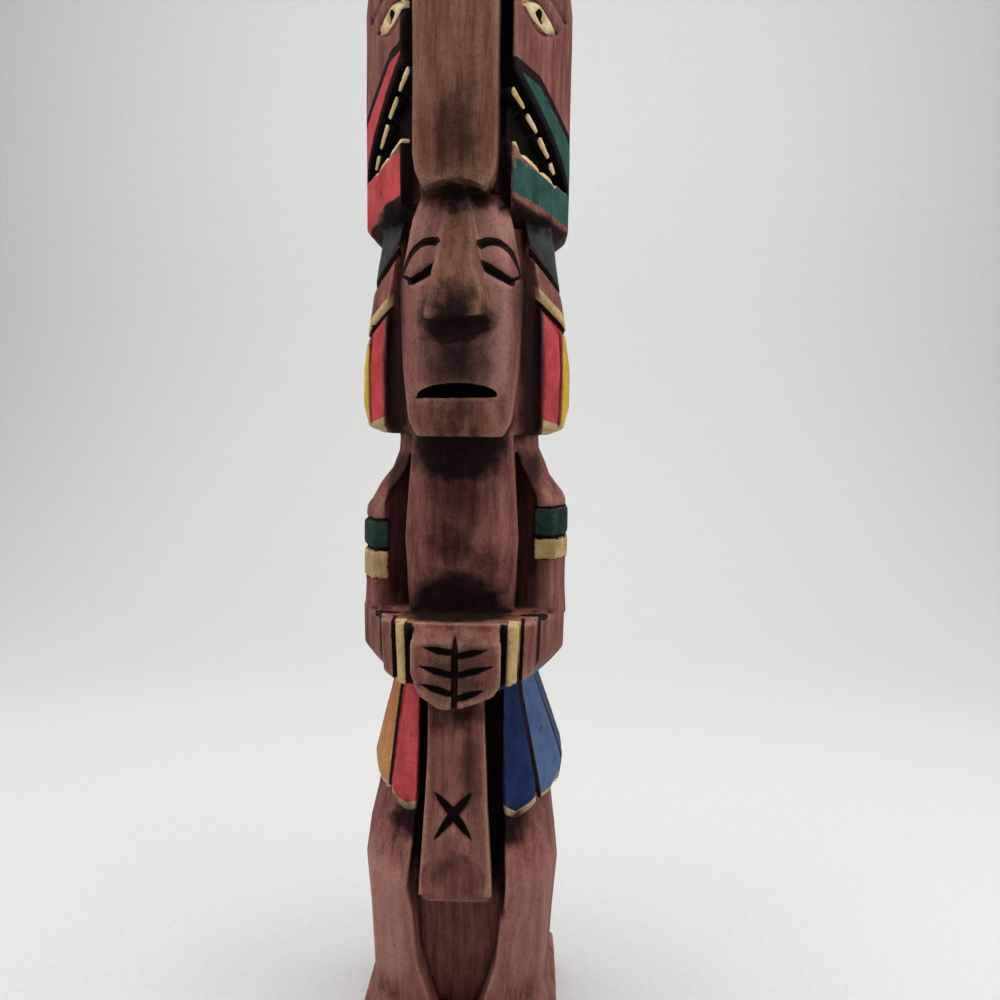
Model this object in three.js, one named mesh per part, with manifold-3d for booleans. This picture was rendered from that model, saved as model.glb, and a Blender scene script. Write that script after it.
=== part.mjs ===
// A small hand-carved totem pole, cut from one squared beam of wood.
//
// From the base up: a low plinth, a standing figure with bent legs, an apron between them and a
// feather skirt, hands folded on the belly, a long face with a wedge nose, and on top of it an
// animal's head with open jaws and a snout that hangs over them.
//
// Millimetres, +Z up, the front faces -Y. The origin is the centre of the base's underside.
// The pole is one solid: it is built up from convex blocks and cut with V grooves, the way a
// carver squares the masses first and cuts the lines last.

import * as THREE from 'three';
import { ConvexGeometry } from 'three/addons/geometries/ConvexGeometry.js';
import { mergeVertices } from 'three/addons/utils/BufferGeometryUtils.js';
import Module from 'manifold-3d';

const wasm = await Module();
wasm.setup();

// ---------------------------------------------------------------- driving sizes

const HEIGHT = 380; // underside of the base to the crown
const HALF = 35; // half the width of the squared beam
const FRONT = -36; // front face of the beam, which snout, nose and hands still touch
const BACK = 33; // back face of the beam
const BASE_HEIGHT = 14;
const APRON_END = 70;
const THIGH = 70; // where the thighs are widest
const SKIRT_TOP = 138;
const SKIRT_WIDE = 105; // where the feather skirt is widest
const FOREARM_LOW = 137;
const FOREARM_TOP = 160;
const SHOULDER = 191;
const CHIN = 217;
const MOUTH = 229;
const NOSE_LOW = 251;
const EYE = 268;
const HEAD_TOP = 282;
const JAW_LOW = 287; // lower edge of the animal's lower jaw
const JAW_TOP = 299;
const CENTRE_LINE = -0.8; // the carver's centre line stands a little off the middle
const SHOULDER_LIFT = 4; // the shoulder at +X was cut this much higher

const SIDES = [-1, 1]; // -1 is the figure's side at -X, 1 the side at +X

// ---------------------------------------------------------------- tools

const point = (x, y, z) => new THREE.Vector3(x, y, z);

// A closed three.js geometry as a solid that can be joined and cut.
function solid(geometry) {
  geometry.deleteAttribute('normal');
  geometry.deleteAttribute('uv');
  const merged = mergeVertices(geometry, 1e-4);
  return new wasm.Manifold(new wasm.Mesh({
    numProp: 3,
    vertProperties: new Float32Array(merged.attributes.position.array),
    triVerts: new Uint32Array(merged.index.array),
  }));
}

const block = (points) => solid(new ConvexGeometry(points));

const join = (parts) => parts.reduce((whole, part) => whole.add(part));

const cutAll = (whole, cutters) => cutters.reduce((left, cutter) => left.subtract(cutter), whole);

function box([x0, x1], [y0, y1], [z0, z1]) {
  const geometry = new THREE.BoxGeometry(x1 - x0, y1 - y0, z1 - z0);
  geometry.translate((x0 + x1) / 2, (y0 + y1) / 2, (z0 + z1) / 2);
  return solid(geometry);
}

// An outline seen from the front, as [x, z] pairs, cut straight back from yFront to yBack.
function frontCut(outline, yFront, yBack) {
  const shape = new THREE.Shape(outline.map(([x, z]) => new THREE.Vector2(x, z)));
  const geometry = new THREE.ExtrudeGeometry(shape, { depth: yBack - yFront, bevelEnabled: false });
  geometry.rotateX(Math.PI / 2);
  geometry.translate(0, yBack, 0);
  return solid(geometry);
}

// An outline seen from the side, as [y, z] pairs, cut straight across from x0 to x1.
function sideCut(outline, x0, x1) {
  const shape = new THREE.Shape(outline.map(([y, z]) => new THREE.Vector2(y, z)));
  const geometry = new THREE.ExtrudeGeometry(shape, { depth: x1 - x0, bevelEnabled: false });
  geometry.applyMatrix4(new THREE.Matrix4().makeBasis(point(0, 1, 0), point(0, 0, 1), point(1, 0, 0)));
  geometry.translate(x0, 0, 0);
  return solid(geometry);
}

// One level of the pole: half a plan outline from the front round to the back, mirrored, or
// closed along the middle where only one side is wanted.
function level(z, halfPlan, sides) {
  const outline = sides.flatMap((side) => halfPlan.map(([x, y]) => point(side * x, y, z)));
  const ends = [halfPlan[0], halfPlan.at(-1)].map(([, y]) => point(0, y, z));
  return sides.length > 1 ? outline : [...outline, ...ends];
}

// Blocks between neighbouring levels, joined into one tapering mass.
function mass(levels, sides = SIDES) {
  const rings = levels.map(([z, halfPlan]) => level(z, halfPlan, sides));
  return join(rings.slice(1).map((upper, i) => block([...rings[i], ...upper])));
}

// The half plan at a height between the listed levels, moved out by grow.
function planAt(levels, z, grow = 0) {
  const upper = Math.max(1, levels.findIndex(([height]) => height >= z));
  const [z0, low] = levels[upper - 1];
  const [z1, high] = levels[upper];
  const t = (z - z0) / (z1 - z0);
  return low.map(([x, y], i) => {
    const px = x + (high[i][0] - x) * t;
    const py = y + (high[i][1] - y) * t;
    const reach = 1 + grow / Math.hypot(px, py);
    return [px * reach, py * reach];
  });
}

// A V groove along a path of points on the surface. outward points out of the wood there, and
// swell(t) gives the share of the full width and depth along the groove.
function groove(path, outward, width, depth, swell = () => 1) {
  const above = 2;
  const sections = path.map((here, i) => {
    const along = path[Math.min(i + 1, path.length - 1)].clone().sub(path[Math.max(i - 1, 0)]);
    const across = along.cross(outward).normalize();
    const share = Math.max(0.12, swell(i / (path.length - 1)));
    const half = (width / 2) * share * (1 + above / (depth * share));
    return [
      here.clone().addScaledVector(outward, -depth * share),
      here.clone().addScaledVector(outward, above).addScaledVector(across, half),
      here.clone().addScaledVector(outward, above).addScaledVector(across, -half),
    ];
  });
  return join(sections.slice(1).map((next, i) => block([...sections[i], ...next])));
}

const AHEAD = point(0, -1, 0);
const leaf = (t) => Math.sin(Math.PI * t);
const curve = (points, steps) => new THREE.CatmullRomCurve3(points).getPoints(steps);
const line = (from, to, steps) => Array.from(
  { length: steps + 1 }, (_, i) => from.clone().lerp(to, i / steps));

// ---------------------------------------------------------------- base, legs and apron

const LEG_LEVELS = [
  [BASE_HEIGHT - 1, [[18, -29], [31, -20], [33, -6], [33, 18], [25, 31]]],
  [BASE_HEIGHT + 12, [[16, -23], [28, -16], [31, -5], [31, 17], [24, 30]]],
  [THIGH - 18, [[17, -26], [29, -18], [32.5, -5], [32.5, 18], [25, 31]]],
  [THIGH, [[17, -29], [29, -20], [33.8, -6], [33.8, 18], [25, 31]]],
  [THIGH + 14, [[15, -27], [28, -17], [32, -5], [32, 17], [24, 30]]],
  [THIGH + 23, [[14, -23.5], [26, -14], [30, -4], [30, 16], [22, 29]]],
  [SKIRT_TOP + 1, [[10, -20], [19, -13], [23, -3], [23, 14], [19, 26]]],
];

function base() {
  const chamfer = 1.5;
  const plan = (inset) => [[HALF - inset, FRONT + inset], [HALF - inset, BACK + 1 - inset]];
  return mass([[0, plan(0)], [BASE_HEIGHT - chamfer, plan(0)], [BASE_HEIGHT, plan(chamfer)]]);
}

// Two feet that stand forward on the base, each with its instep sloping up to the shin.
function feet() {
  const top = BASE_HEIGHT + 11;
  return join(SIDES.map((side) => block([
    point(side * 5, -34, BASE_HEIGHT - 1), point(side * 26, -33, BASE_HEIGHT - 1),
    point(side * 31, -24, BASE_HEIGHT - 1), point(side * 5, -12, BASE_HEIGHT - 1),
    point(side * 5.5, -34, BASE_HEIGHT + 4), point(side * 25, -33, BASE_HEIGHT + 4),
    point(side * 30, -23, BASE_HEIGHT + 4), point(side * 7, -22, top),
    point(side * 27, -18, top), point(side * 7, -12, top), point(side * 28, -8, top),
  ])));
}

const toeGrooves = () => SIDES.flatMap((side) => [10.5, 15.5, 20.5].map((x) => groove(
  line(point(side * x, -34, BASE_HEIGHT), point(side * x, -28, BASE_HEIGHT + 8), 1),
  point(0, -0.8, 0.6), 2, 1.4)));

// The two slots that free the apron from the legs, and the arch between the shins.
function legSlots() {
  const floor = -16;
  const skirtEdge = (side) => (side > 0 ? [14, 14.6, 15] : [12, 12.6, 13.2]);
  const slots = SIDES.map((side) => frontCut([
    [side * 8.4, SKIRT_TOP + 4], [side * skirtEdge(side)[0], SKIRT_TOP + 4],
    [side * skirtEdge(side)[1], SKIRT_WIDE], [side * skirtEdge(side)[2], SKIRT_WIDE - 9],
    [side * 16, THIGH], [side * 15, APRON_END - 6], [side * 10, APRON_END - 6],
    [side * 12, APRON_END], [side * 9.8, SKIRT_WIDE - 5],
  ], FRONT - 4, floor));
  const foot = BASE_HEIGHT + 5;
  const arch = frontCut([
    [-15, APRON_END - 4], [-13, foot + 22], [-9, foot + 8], [-6, foot],
    [6, foot], [9, foot + 8], [13, foot + 22], [15, APRON_END - 4],
  ], FRONT - 4, floor + 2);
  return [...slots, arch];
}

// The apron hangs from under the hands. A ridge runs down its middle and dies away lower down.
function apron() {
  const x = CENTRE_LINE;
  const half = 8.4;
  const back = -12;
  const panel = mass([
    [APRON_END, [[12, -31.5], [12, back]]],
    [SKIRT_WIDE - 5, [[10, -31.5], [10, back]]],
    [SKIRT_TOP + 3, [[half, -29.5], [half, back]]],
  ]);
  const ridge = [
    [SKIRT_TOP + 3, -33], [SKIRT_WIDE + 8, -33.2], [SKIRT_WIDE + 1, -32.8],
    [SKIRT_WIDE - 6, -32.2], [SKIRT_WIDE - 13, -31.5],
  ];
  const edge = (z) => -31.3 + Math.max(0, z - SKIRT_WIDE) * 0.05;
  const ring = ([z, y]) => [point(x, y, z), ...SIDES.flatMap((side) => [
    point(x + side * half, edge(z), z), point(x + side * half, -20, z),
  ])];
  return join([panel, ...ridge.slice(1).map((stop, i) => block([...ring(ridge[i]), ...ring(stop)]))]);
}

// Two crossed leaf-shaped cuts below the ridge.
function crossMark() {
  const z = SKIRT_WIDE - 8;
  const y = -31.4;
  return SIDES.map((side) => groove(
    line(point(CENTRE_LINE + side * 6, y, z + 8.2), point(CENTRE_LINE - side * 6.2, y, z - 8.2), 8),
    AHEAD, 4.4, 3.2, (t) => Math.pow(leaf(t), 0.6)));
}

// A gouge has taken a round scoop out of the apron's lower end.
function apronScoop() {
  const ball = new THREE.SphereGeometry(15, 28, 20);
  ball.rotateX(Math.PI / 2);
  ball.translate(CENTRE_LINE, -42, 75);
  return solid(ball);
}

// ---------------------------------------------------------------- feather skirt

// One flat feather: its outline as [x, y, z] corners on the outer face, and its thickness inwards.
function feather(outline, thickness) {
  const inner = outline.map(([x, y, z]) => point(x * (1 - thickness / 40), y + thickness * 0.8, z));
  return block([...outline.map(([x, y, z]) => point(x, y, z)), ...inner]);
}

// Each side has a front feather beside the apron and a side feather that turns round the hip.
// The side at +X was left a little fuller than the other.
const skirtFullness = (side) => (side > 0 ? 1.075 : 0.94);

function skirt() {
  return join(SIDES.flatMap((side) => {
    const full = skirtFullness(side);
    const slim = (z) => (z > SKIRT_TOP ? 1 + (full - 1) * 0.2 : full);
    const at = (x, y, z) => [side * x * slim(z), y, z];
    const frontEnd = side > 0 ? [96, 93.5, 94.6, 97] : [97.2, 95.3, 96, 99.4];
    const flankEnd = side > 0 ? [97.2, 97, 102] : [100.3, 98.8, 101.5];
    const inner = side > 0 ? 13.2 : 12.2;
    const front = feather([
      at(inner, -24, SKIRT_TOP + 2), at(18.8, -17.5, SKIRT_TOP + 2),
      at(inner + 1.3, -28.2, SKIRT_WIDE), at(24, -20.6, SKIRT_WIDE - 1),
      at(inner + 1.6, -28, frontEnd[0]), at(17.6, -25.8, frontEnd[1]),
      at(21.6, -22.6, frontEnd[2]), at(24.6, -20, frontEnd[3]),
    ], 7);
    const flank = feather([
      at(19, -17.2, SKIRT_TOP + 2), at(22.8, -7, SKIRT_TOP + 2),
      at(24.4, -20.2, SKIRT_WIDE - 1), at(32.4, -7, SKIRT_WIDE + 2),
      at(25.2, -19, flankEnd[0]), at(28.4, -13.5, flankEnd[1]), at(31.6, -7.4, flankEnd[2]),
    ], 7);
    const hip = feather([
      at(22.8, -7, SKIRT_TOP + 2), at(22.8, 12, SKIRT_TOP + 2),
      at(32.4, -7, SKIRT_WIDE + 2), at(32.4, 13, SKIRT_WIDE + 2),
      at(31.6, -6.6, 99), at(30.6, 3, 92), at(31.6, 12.6, 99),
    ], 7);
    const rear = feather([
      at(22.6, 12.4, SKIRT_TOP + 2), at(17, 26, SKIRT_TOP + 2),
      at(32.2, 13.4, SKIRT_WIDE + 2), at(24, 30.5, SKIRT_WIDE),
      at(31.2, 13.8, 98), at(27.6, 21.5, 92.5), at(23.6, 29.8, 98),
    ], 0.5).add(block([
      point(side * 10, 8, SKIRT_TOP),
      point(side * 22.6, 12.4, SKIRT_TOP), point(side * 17, 25.8, SKIRT_TOP),
      point(side * 10, 8, 98), point(side * 31 * full, 13.8, 98), point(side * 23.5 * full, 29.2, 98),
    ]));
    return [front, flank, hip, rear];
  }));
}

// The dark lines between the skirt's feathers.
const skirtLines = () => SIDES.flatMap((side) => {
  const full = skirtFullness(side);
  return [
    [[18.9, -17.5, SKIRT_TOP + 1], [24.1, -20.6, SKIRT_WIDE - 1], [25, -19.6, 96]],
    [[22.8, -7, SKIRT_TOP + 1], [32.4, -7, SKIRT_WIDE + 2], [31, -7, 96]],
    [[22.8, 12.2, SKIRT_TOP + 1], [32.4, 13, SKIRT_WIDE + 2], [31, 13, 96]],
  ].map((stops) => groove(
    stops.map(([x, y, z]) => point(side * x * full, y, z)),
    point(side * stops[1][0], stops[1][1] * 0.8, 0).normalize(), 1.5, 1.5));
});

// ---------------------------------------------------------------- forearms and hands

const FOREARM_LEVELS = [
  [FOREARM_LOW, [[12, -29], [20, -19.5], [25.2, -8], [25.2, 10], [20, 26]]],
  [FOREARM_LOW + 5, [[13, -30.4], [23, -20.6], [30.6, -7.4], [31, 12.6], [24, 29.4]]],
  [FOREARM_LOW + 9, [[14, -31.5], [25, -22], [34, -7], [34.4, 14], [26, 31]]],
  [FOREARM_TOP, [[14, -32.5], [25, -22.5], [34.2, -7], [34.8, 14], [26, 31]]],
];

// The cuffs and the gold wrist strips stand a little proud of the sleeve.
function cuffs() {
  const low = FOREARM_LOW + 3;
  const rise = (x) => Math.max(0, x - 20) * 0.42;
  const strip = (side, from, to) => block([from, to].flatMap(([x, y]) => [
    point(side * x, y, FOREARM_TOP - 0.2), point(side * (x - 0.6), y + 1.2, low + rise(x)),
    point(side * (x - 6), y + 8, FOREARM_TOP - 0.2), point(side * (x - 6), y + 8, low + rise(x)),
  ]));
  return join(SIDES.flatMap((side) => [
    strip(side, [16, -34], [19.6, -31.2]),
    strip(side, [20.9, -30], [25, -26]),
  ]));
}

function hands() {
  const bottom = 133.4;
  const back = -20;
  const outline = [
    [-14.4, 155.5], [-12.4, FOREARM_TOP - 1], [12.6, FOREARM_TOP - 1], [13.8, 156],
    [13.8, 141.5], [11.6, 138], [5.8, 135.4], [-0.6, bottom], [-5, bottom + 0.3],
    [-11.4, 138], [-14, 145],
  ];
  const bevel = sideCut([
    [FRONT - 4, 150.5], [FRONT - 4, FOREARM_TOP + 10], [FRONT + 6, FOREARM_TOP + 10], [FRONT + 6, 161],
  ], -20, 20);
  return frontCut(outline, FRONT, back).subtract(bevel);
}

// One upright groove parts the hands, and three leaf-shaped cuts part the fingers of each.
function fingerCuts() {
  const x = -0.4;
  const y = FRONT + 0.4;
  const between = groove([
    point(x, y + 1, 158.2), point(x, y, 153), point(x, y, 141), point(x, y, 131),
  ], AHEAD, 2.4, 3, (t) => Math.min(1, 0.3 + 3 * t));
  const cuts = [
    [-10.6, 153.4, 151.4], [-12, 147.6, 144.4], [-11.6, 142, 138.4],
    [10, 153, 150.4], [12.2, 148, 144.4], [9.4, 140.4, 137],
  ].map(([reach, outer, inner]) => groove(
    line(point(reach, y, outer), point(Math.sign(reach) * 0.6 + x, y, inner), 5),
    AHEAD, 3.3, 2.8, (t) => Math.min(1, 1.9 * t) * (1 - 0.35 * t)));
  return [between, ...cuts];
}

// Upright grooves either side of the gold strips, and the step behind the cuff.
const cuffGrooves = () => SIDES.flatMap((side) => [
  [15, -33.8, 2.4, 3.4], [20.2, -31.2, 1.5, 2.2], [25.6, -25, 1.4, 1.4],
].map(([x, y, width, depth]) => groove(
  line(point(side * x, y, FOREARM_TOP + 2), point(side * (x - 0.8), y + 1.6, FOREARM_LOW - 3), 1),
  point(side * 0.55, -0.83, 0), width, depth)));

// ---------------------------------------------------------------- torso, shoulders and arms

// Levels of one arm, from the crease at the elbow up to the collar. The one at +X is fuller.
function armLevels(side) {
  const lift = side > 0 ? SHOULDER_LIFT : 0;
  const full = side > 0 ? 1 : 0.978;
  const collar = side > 0 ? 1.06 : 0.97;
  const shoulder = (rise) => SHOULDER + rise + lift * (1 - rise / 30);
  const arm = (reach) => [reach[0] * full, reach[1]];
  const neck = (reach) => [reach[0] * collar, reach[1]];
  return [
    [FOREARM_TOP - 2, [[18, -12], [30, -12.5], [34.8, -6], [35, 14], [26, 31]].map(arm)],
    [SHOULDER - 24, [[18, -13], [29.6, -14], [34.2, -7], [34.4, 14], [26, 31]].map(arm)],
    [shoulder(-2), [[18, -14], [29.6, -14.5], [34.2, -6], [34.4, 14], [26, 31]].map(arm)],
    [shoulder(2.5), [[17, -15], [28.6, -14.5], [33.7, -6], [33.8, 14], [25.6, 30.5]].map(arm)],
    [shoulder(5), [[16.4, -15.4], [27, -14], [31.8, -5.6], [32, 13.4], [25, 30]].map(arm)],
    [shoulder(10), [[15, -15.4], [24, -12.8], [28.5, -5], [28.6, 12.6], [24, 29.5]]],
    [shoulder(15), [[13, -14.8], [21, -11.4], [25.4, -4], [25.6, 11], [22, 28]].map(neck)],
    [shoulder(21), [[12, -13.6], [19, -10], [23.2, -3], [23.4, 10], [21, 27]].map(neck)],
    [CHIN + 3, [[12, -13], [18.6, -10], [22.8, -3], [23, 10], [21, 27]].map(neck)],
  ];
}

function torso() {
  return mass([
    [FOREARM_TOP - 2, [[5, -19], [12, -18], [17.2, -14.5], [17, 0]]],
    [FOREARM_TOP + 8, [[5, -20.5], [12, -19.5], [18, -15.5], [17.6, 0]]],
    [FOREARM_TOP + 24, [[5, -23], [12, -21.8], [18.5, -17], [18, 0]]],
    [SHOULDER + 10, [[5, -22.6], [12, -21.2], [17.4, -16.8], [17, 0]]],
    [CHIN + 2, [[5, -20.5], [12, -19.4], [16, -16], [16, 0]]],
  ]);
}

// The hollows between the torso and the arms: pointed at the collar, with a floor that slants
// from the arm's front down to the torso's side.
function armHollows() {
  return SIDES.map((side) => {
    const lift = side > 0 ? SHOULDER_LIFT / 2 : 0;
    const x = side > 0 ? -1.4 : 0;
    const outline = [
      [13, FOREARM_TOP + 0.2], [29, FOREARM_TOP + 0.2],
      [28, SHOULDER - 14], [25.4 + x, SHOULDER - 1 + lift], [25.4 + x, SHOULDER + 4 + lift],
      [23.4 + x, SHOULDER + 8.6 + lift], [20.4, SHOULDER + 12 + lift],
      [18.4, SHOULDER + 16 + lift], [17.6, SHOULDER + 20 + lift / 2], [13, SHOULDER + 22],
    ].map(([reach, z]) => [side * reach, z]);
    const floor = block([FOREARM_TOP - 4, CHIN].flatMap((z) => [
      point(side * 12, -6.5, z), point(side * 17.6, -7, z), point(side * 24.6, -12.4, z),
      point(side * 30, -14, z), point(side * 30, 0, z), point(side * 12, 0, z),
    ]));
    return frontCut(outline, FRONT, -3).subtract(floor);
  });
}

// Green and gold armbands. The ones at +X sit a little higher than the ones at -X.
const ARMBANDS = [
  [-1, 180, 188.6], [-1, 169.4, 179],
  [1, 185, 193.4], [1, 177, 184],
];

function armbands() {
  const proud = 0.6;
  const inner = 24.4;
  return join(ARMBANDS.map(([side, low, high]) => {
    const levels = armLevels(side);
    const slice = mass([low, high].map((z) => [z, planAt(levels, z, proud)]), [side]);
    const reach = side > 0 ? [inner - 1, HALF + 5] : [-HALF - 5, -inner];
    return slice.intersect(box(reach, [-30, 26], [low, high]));
  }));
}

// Fine notches above and between the armbands, all round the arm.
const bandNotches = () => [[-1, 189.2], [-1, 179.5], [1, 194.2], [1, 184.5]].map(([side, z]) => groove(
  planAt(armLevels(side), z, 0.5).slice(0, 4).map(([x, y]) => point(side * x, y, z)),
  point(side * 0.86, -0.5, 0), 1.5, 1.8));

// The crease where the upper arm meets the forearm, running out towards the elbow.
const elbowCreases = () => SIDES.map((side) => groove([
  point(side * 14, -18, FOREARM_TOP + 0.8), point(side * 22, -15.6, FOREARM_TOP + 0.4),
  point(side * 28.6, -14, FOREARM_TOP - 0.4), point(side * 33.4, -9.6, FOREARM_TOP - 1.6),
], point(side * 0.3, -0.9, 0.32), 2.2, 3.4, (t) => 1 - 0.8 * t * t));

// ---------------------------------------------------------------- the long face

const HAIR_LEVELS = [
  [CHIN + 0.6, [[12, -17], [23, -12.6], [27.5, -4], [27.5, 14], [22, 28]]],
  [CHIN + 2.5, [[13, -17.4], [25, -13], [32.8, -4.6], [32.8, 15], [25, 31]]],
  [CHIN + 8, [[14, -17.6], [26, -13.4], [33.8, -4], [34, 16], [26, 32]]],
  [CHIN + 24, [[14, -17.6], [26, -13.4], [33.6, -4], [34, 16], [26, 32]]],
  [CHIN + 34, [[14, -17.6], [25, -13], [32, -4], [32.6, 16], [25.4, 31]]],
  [HEAD_TOP, [[11, -17.6], [20.4, -12.6], [27.2, -4], [28, 15], [22, 29]]],
];

function facePlate() {
  return mass([
    [CHIN, [[9, -29.6], [13.2, -29], [13.2, -12]]],
    [CHIN + 5, [[11, -30], [15.9, -28.4], [15.9, -12]]],
    [CHIN + 21, [[12, -29], [17.8, -26.8], [17.8, -12]]],
    [CHIN + 45, [[12.4, -28], [18.9, -25.4], [18.9, -12]]],
    [HEAD_TOP, [[10, -27.2], [15, -25.2], [15, -12]]],
    [JAW_LOW + 2, [[9, -26.4], [12.4, -24.4], [12.4, -12]]],
  ]);
}

// The nose is a wedge: narrow between the brows, wide and proud at its flat-cut end.
function nose() {
  const x = CENTRE_LINE;
  const root = HEAD_TOP + 8;
  const tip = FRONT - 2.4;
  const wedge = block([
    point(x - 2.6, -29, root), point(x + 2, -29, root),
    point(x - 4.4, -23, root), point(x + 4.4, -23, root),
    point(x - 8, tip, NOSE_LOW - 0.2), point(x + 6.4, tip, NOSE_LOW + 1.2),
    point(x - 9.4, tip + 2, NOSE_LOW + 1.4), point(x + 9, tip + 3, NOSE_LOW + 1.6),
    point(x - 10.4, -25, NOSE_LOW + 1), point(x + 10.2, -25, NOSE_LOW + 1.2),
  ]);
  const arch = new THREE.CylinderGeometry(24, 24, 40, 48);
  arch.translate(x, -30, NOSE_LOW - 23);
  return wedge.subtract(solid(arch));
}

// The hollows beside the nose, from the eye down the cheek.
const cheekFacets = () => SIDES.map((side) => groove(
  [
    point(side * 10.6, -28.6, EYE + 6), point(side * 11.6, -28.8, EYE - 12),
    point(side * 11.4, -29.2, NOSE_LOW - 8),
  ],
  point(-side * 0.2, -0.98, 0), 5.5, 1.1, (t) => 1 - 0.6 * t));

// Brow line, heavy lower lid and the nick at the eye's outer corner.
function eyeCuts() {
  return SIDES.flatMap((side) => {
    const at = (x, z, y) => point(side * x, y, z);
    const brow = curve([
      at(5.6, EYE + 6, -28.2), at(9.6, EYE + 7, -28), at(13.6, EYE + 5.6, -27.4),
      at(16.6, EYE + 1.8, -26.4), at(18.4, EYE - 3, -25.6),
    ], 10);
    const lid = line(at(6.4, EYE + 0.2, -28.2), at(15.2, EYE - 4.6, -26.8), 5);
    const corner = line(at(14.4, EYE - 4.6, -27), at(18.6, EYE - 2.6, -25.4), 3);
    const out = point(side * 0.2, -0.98, 0);
    return [
      groove(brow, out, 3.2, 2.2, (t) => 1.1 - 0.65 * t),
      groove(lid, out, 3.9, 2.6, (t) => Math.min(1, 0.75 + t) * (1 - 0.2 * t)),
      groove(corner, out, 1.7, 1.3, (t) => 1 - 0.5 * t),
    ];
  });
}

// The mouth is a deep lens with a straight lower lip, flat along its top.
function mouth() {
  const half = 12.2;
  const rise = 4;
  const steps = 14;
  const arc = Array.from({ length: steps + 1 }, (_, i) => {
    const t = (1 - Math.cos((Math.PI * i) / steps)) / 2;
    const reach = half * (1 - 2 * t);
    return [CENTRE_LINE + reach, MOUTH + reach * 0.02 + rise * Math.pow(4 * t * (1 - t), 0.45)];
  });
  return frontCut(arc, FRONT - 2, -24.6);
}

// Painted ear feathers: a red one, and a yellow one outside it that turns round the side.
function earFeathers() {
  return join(SIDES.flatMap((side) => {
    const at = (x, y, z) => [side * x, y, z];
    const red = feather([
      at(25.6, -15.4, CHIN + 2.6), at(30.7, -10, CHIN + 2), at(26.2, -15.8, CHIN + 24),
      at(31.4, -9.8, CHIN + 22), at(24, -15, CHIN + 41), at(30.4, -9.6, CHIN + 33),
    ], 5);
    const yellow = feather([
      at(31.4, -8.6, CHIN + 3), at(33, -4, CHIN + 3.5), at(33, 6, CHIN + 3.5),
      at(32.2, -8.8, CHIN + 10), at(34.6, -4, CHIN + 10), at(34.6, 6, CHIN + 10),
      at(32.2, -8.8, CHIN + 23), at(34.5, -4, CHIN + 22), at(34.5, 6, CHIN + 22),
      at(31.2, -8.2, CHIN + 34), at(32.8, -4, CHIN + 33), at(32.8, 6, CHIN + 33),
    ], 3);
    return [red, yellow];
  }));
}

const plateDrop = (side) => (side < 0 ? 2.4 : 0); // the long plate at -X reaches lower

// Two short overlapping plates hang over each ear: a grey one, then a longer one with a gold end.
function earPlates() {
  return join(SIDES.flatMap((side) => {
    const at = (x, y, z) => [side * x, y, z];
    const end = CHIN + 37 - plateDrop(side);
    const long = feather([
      at(21, -15.4, HEAD_TOP - 5), at(28.6, -6, HEAD_TOP - 8), at(29.8, 10, HEAD_TOP - 8),
      at(24, -16.4, end + 6), at(31.2, -9, end), at(32.8, -5, end - 2), at(33, 10, end - 2),
    ], 5);
    const short = feather([
      at(18.8, -15.4, HEAD_TOP + 2), at(27, -5, HEAD_TOP + 2), at(28.6, 12, HEAD_TOP + 2),
      at(21, -17.4, HEAD_TOP - 7), at(28.2, -9.8, HEAD_TOP - 14.6), at(30.4, -4, HEAD_TOP - 17),
      at(30.6, 12, HEAD_TOP - 17),
    ], 5);
    return [long, short];
  }));
}

// Dark lines under the two plates and between the ear feathers.
const earLines = () => SIDES.flatMap((side) => {
  const end = CHIN + 36 - plateDrop(side);
  const out = point(side * 0.76, -0.65, 0);
  const path = (stops) => stops.map(([x, y, z]) => point(side * x, y, z));
  const short = HEAD_TOP - 18;
  return [
    groove(path([
      [19.4, -16.4, short + 11.4], [28.2, -9.4, short + 2.6], [30.6, -3.4, short], [30.6, 12, short],
    ]), out, 1.6, 1.4),
    groove(path([
      [22.6, -15.4, end + 7], [31, -8.8, end], [32.8, -4.6, end - 2], [32.8, 12, end - 2],
    ]), out, 1.6, 1.2),
    groove(path([[30.9, -9.8, CHIN], [31.9, -9.4, CHIN + 20], [30.8, -9, CHIN + 35]]), out, 1.2, 1.8),
  ];
});

// Combed hair: an upright groove behind the face, and more round the sides and across the back.
function hairGrooves() {
  const low = CHIN - 3;
  const combed = SIDES.map((side) => groove([
    point(side * 21.6, -14.6, low), point(side * 22.4, -15, CHIN + 20),
    point(side * 21.4, -14.8, CHIN + 44),
  ], point(side * 0.4, -0.9, 0), 1.4, 0.8));
  const flank = SIDES.flatMap((side) => [9.5, 15.5, 21.5].map((y) => groove([
    point(side * 32, y, low), point(side * 35, y, CHIN + 12), point(side * 34, y, CHIN + 26),
    point(side * 28.4, y, HEAD_TOP),
  ], point(side, y > 20 ? 0.7 : 0, 0).normalize(), 1.8, 1.6)));
  const back = [-20, -12, -4, 4, 12, 20].map((x) => groove([
    point(x, 29, low), point(x, 32, CHIN + 11), point(x, 32, CHIN + 24), point(x, 29, HEAD_TOP),
  ], point(0, 1, 0), 2.4, 2));
  return [...combed, ...flank, ...back];
}

// ---------------------------------------------------------------- the animal's head

const CHEEK_FRONT = [15.8, -28]; // where a slanting cheek starts beside the snout, in plan
const MOUTH_DEPTH = 5; // how deep the open mouth is cut into the cheeks
const cheekBack = (side) => [side > 0 ? 33.2 : 34.8, 4]; // the cheek at -X is the wider one

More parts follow.
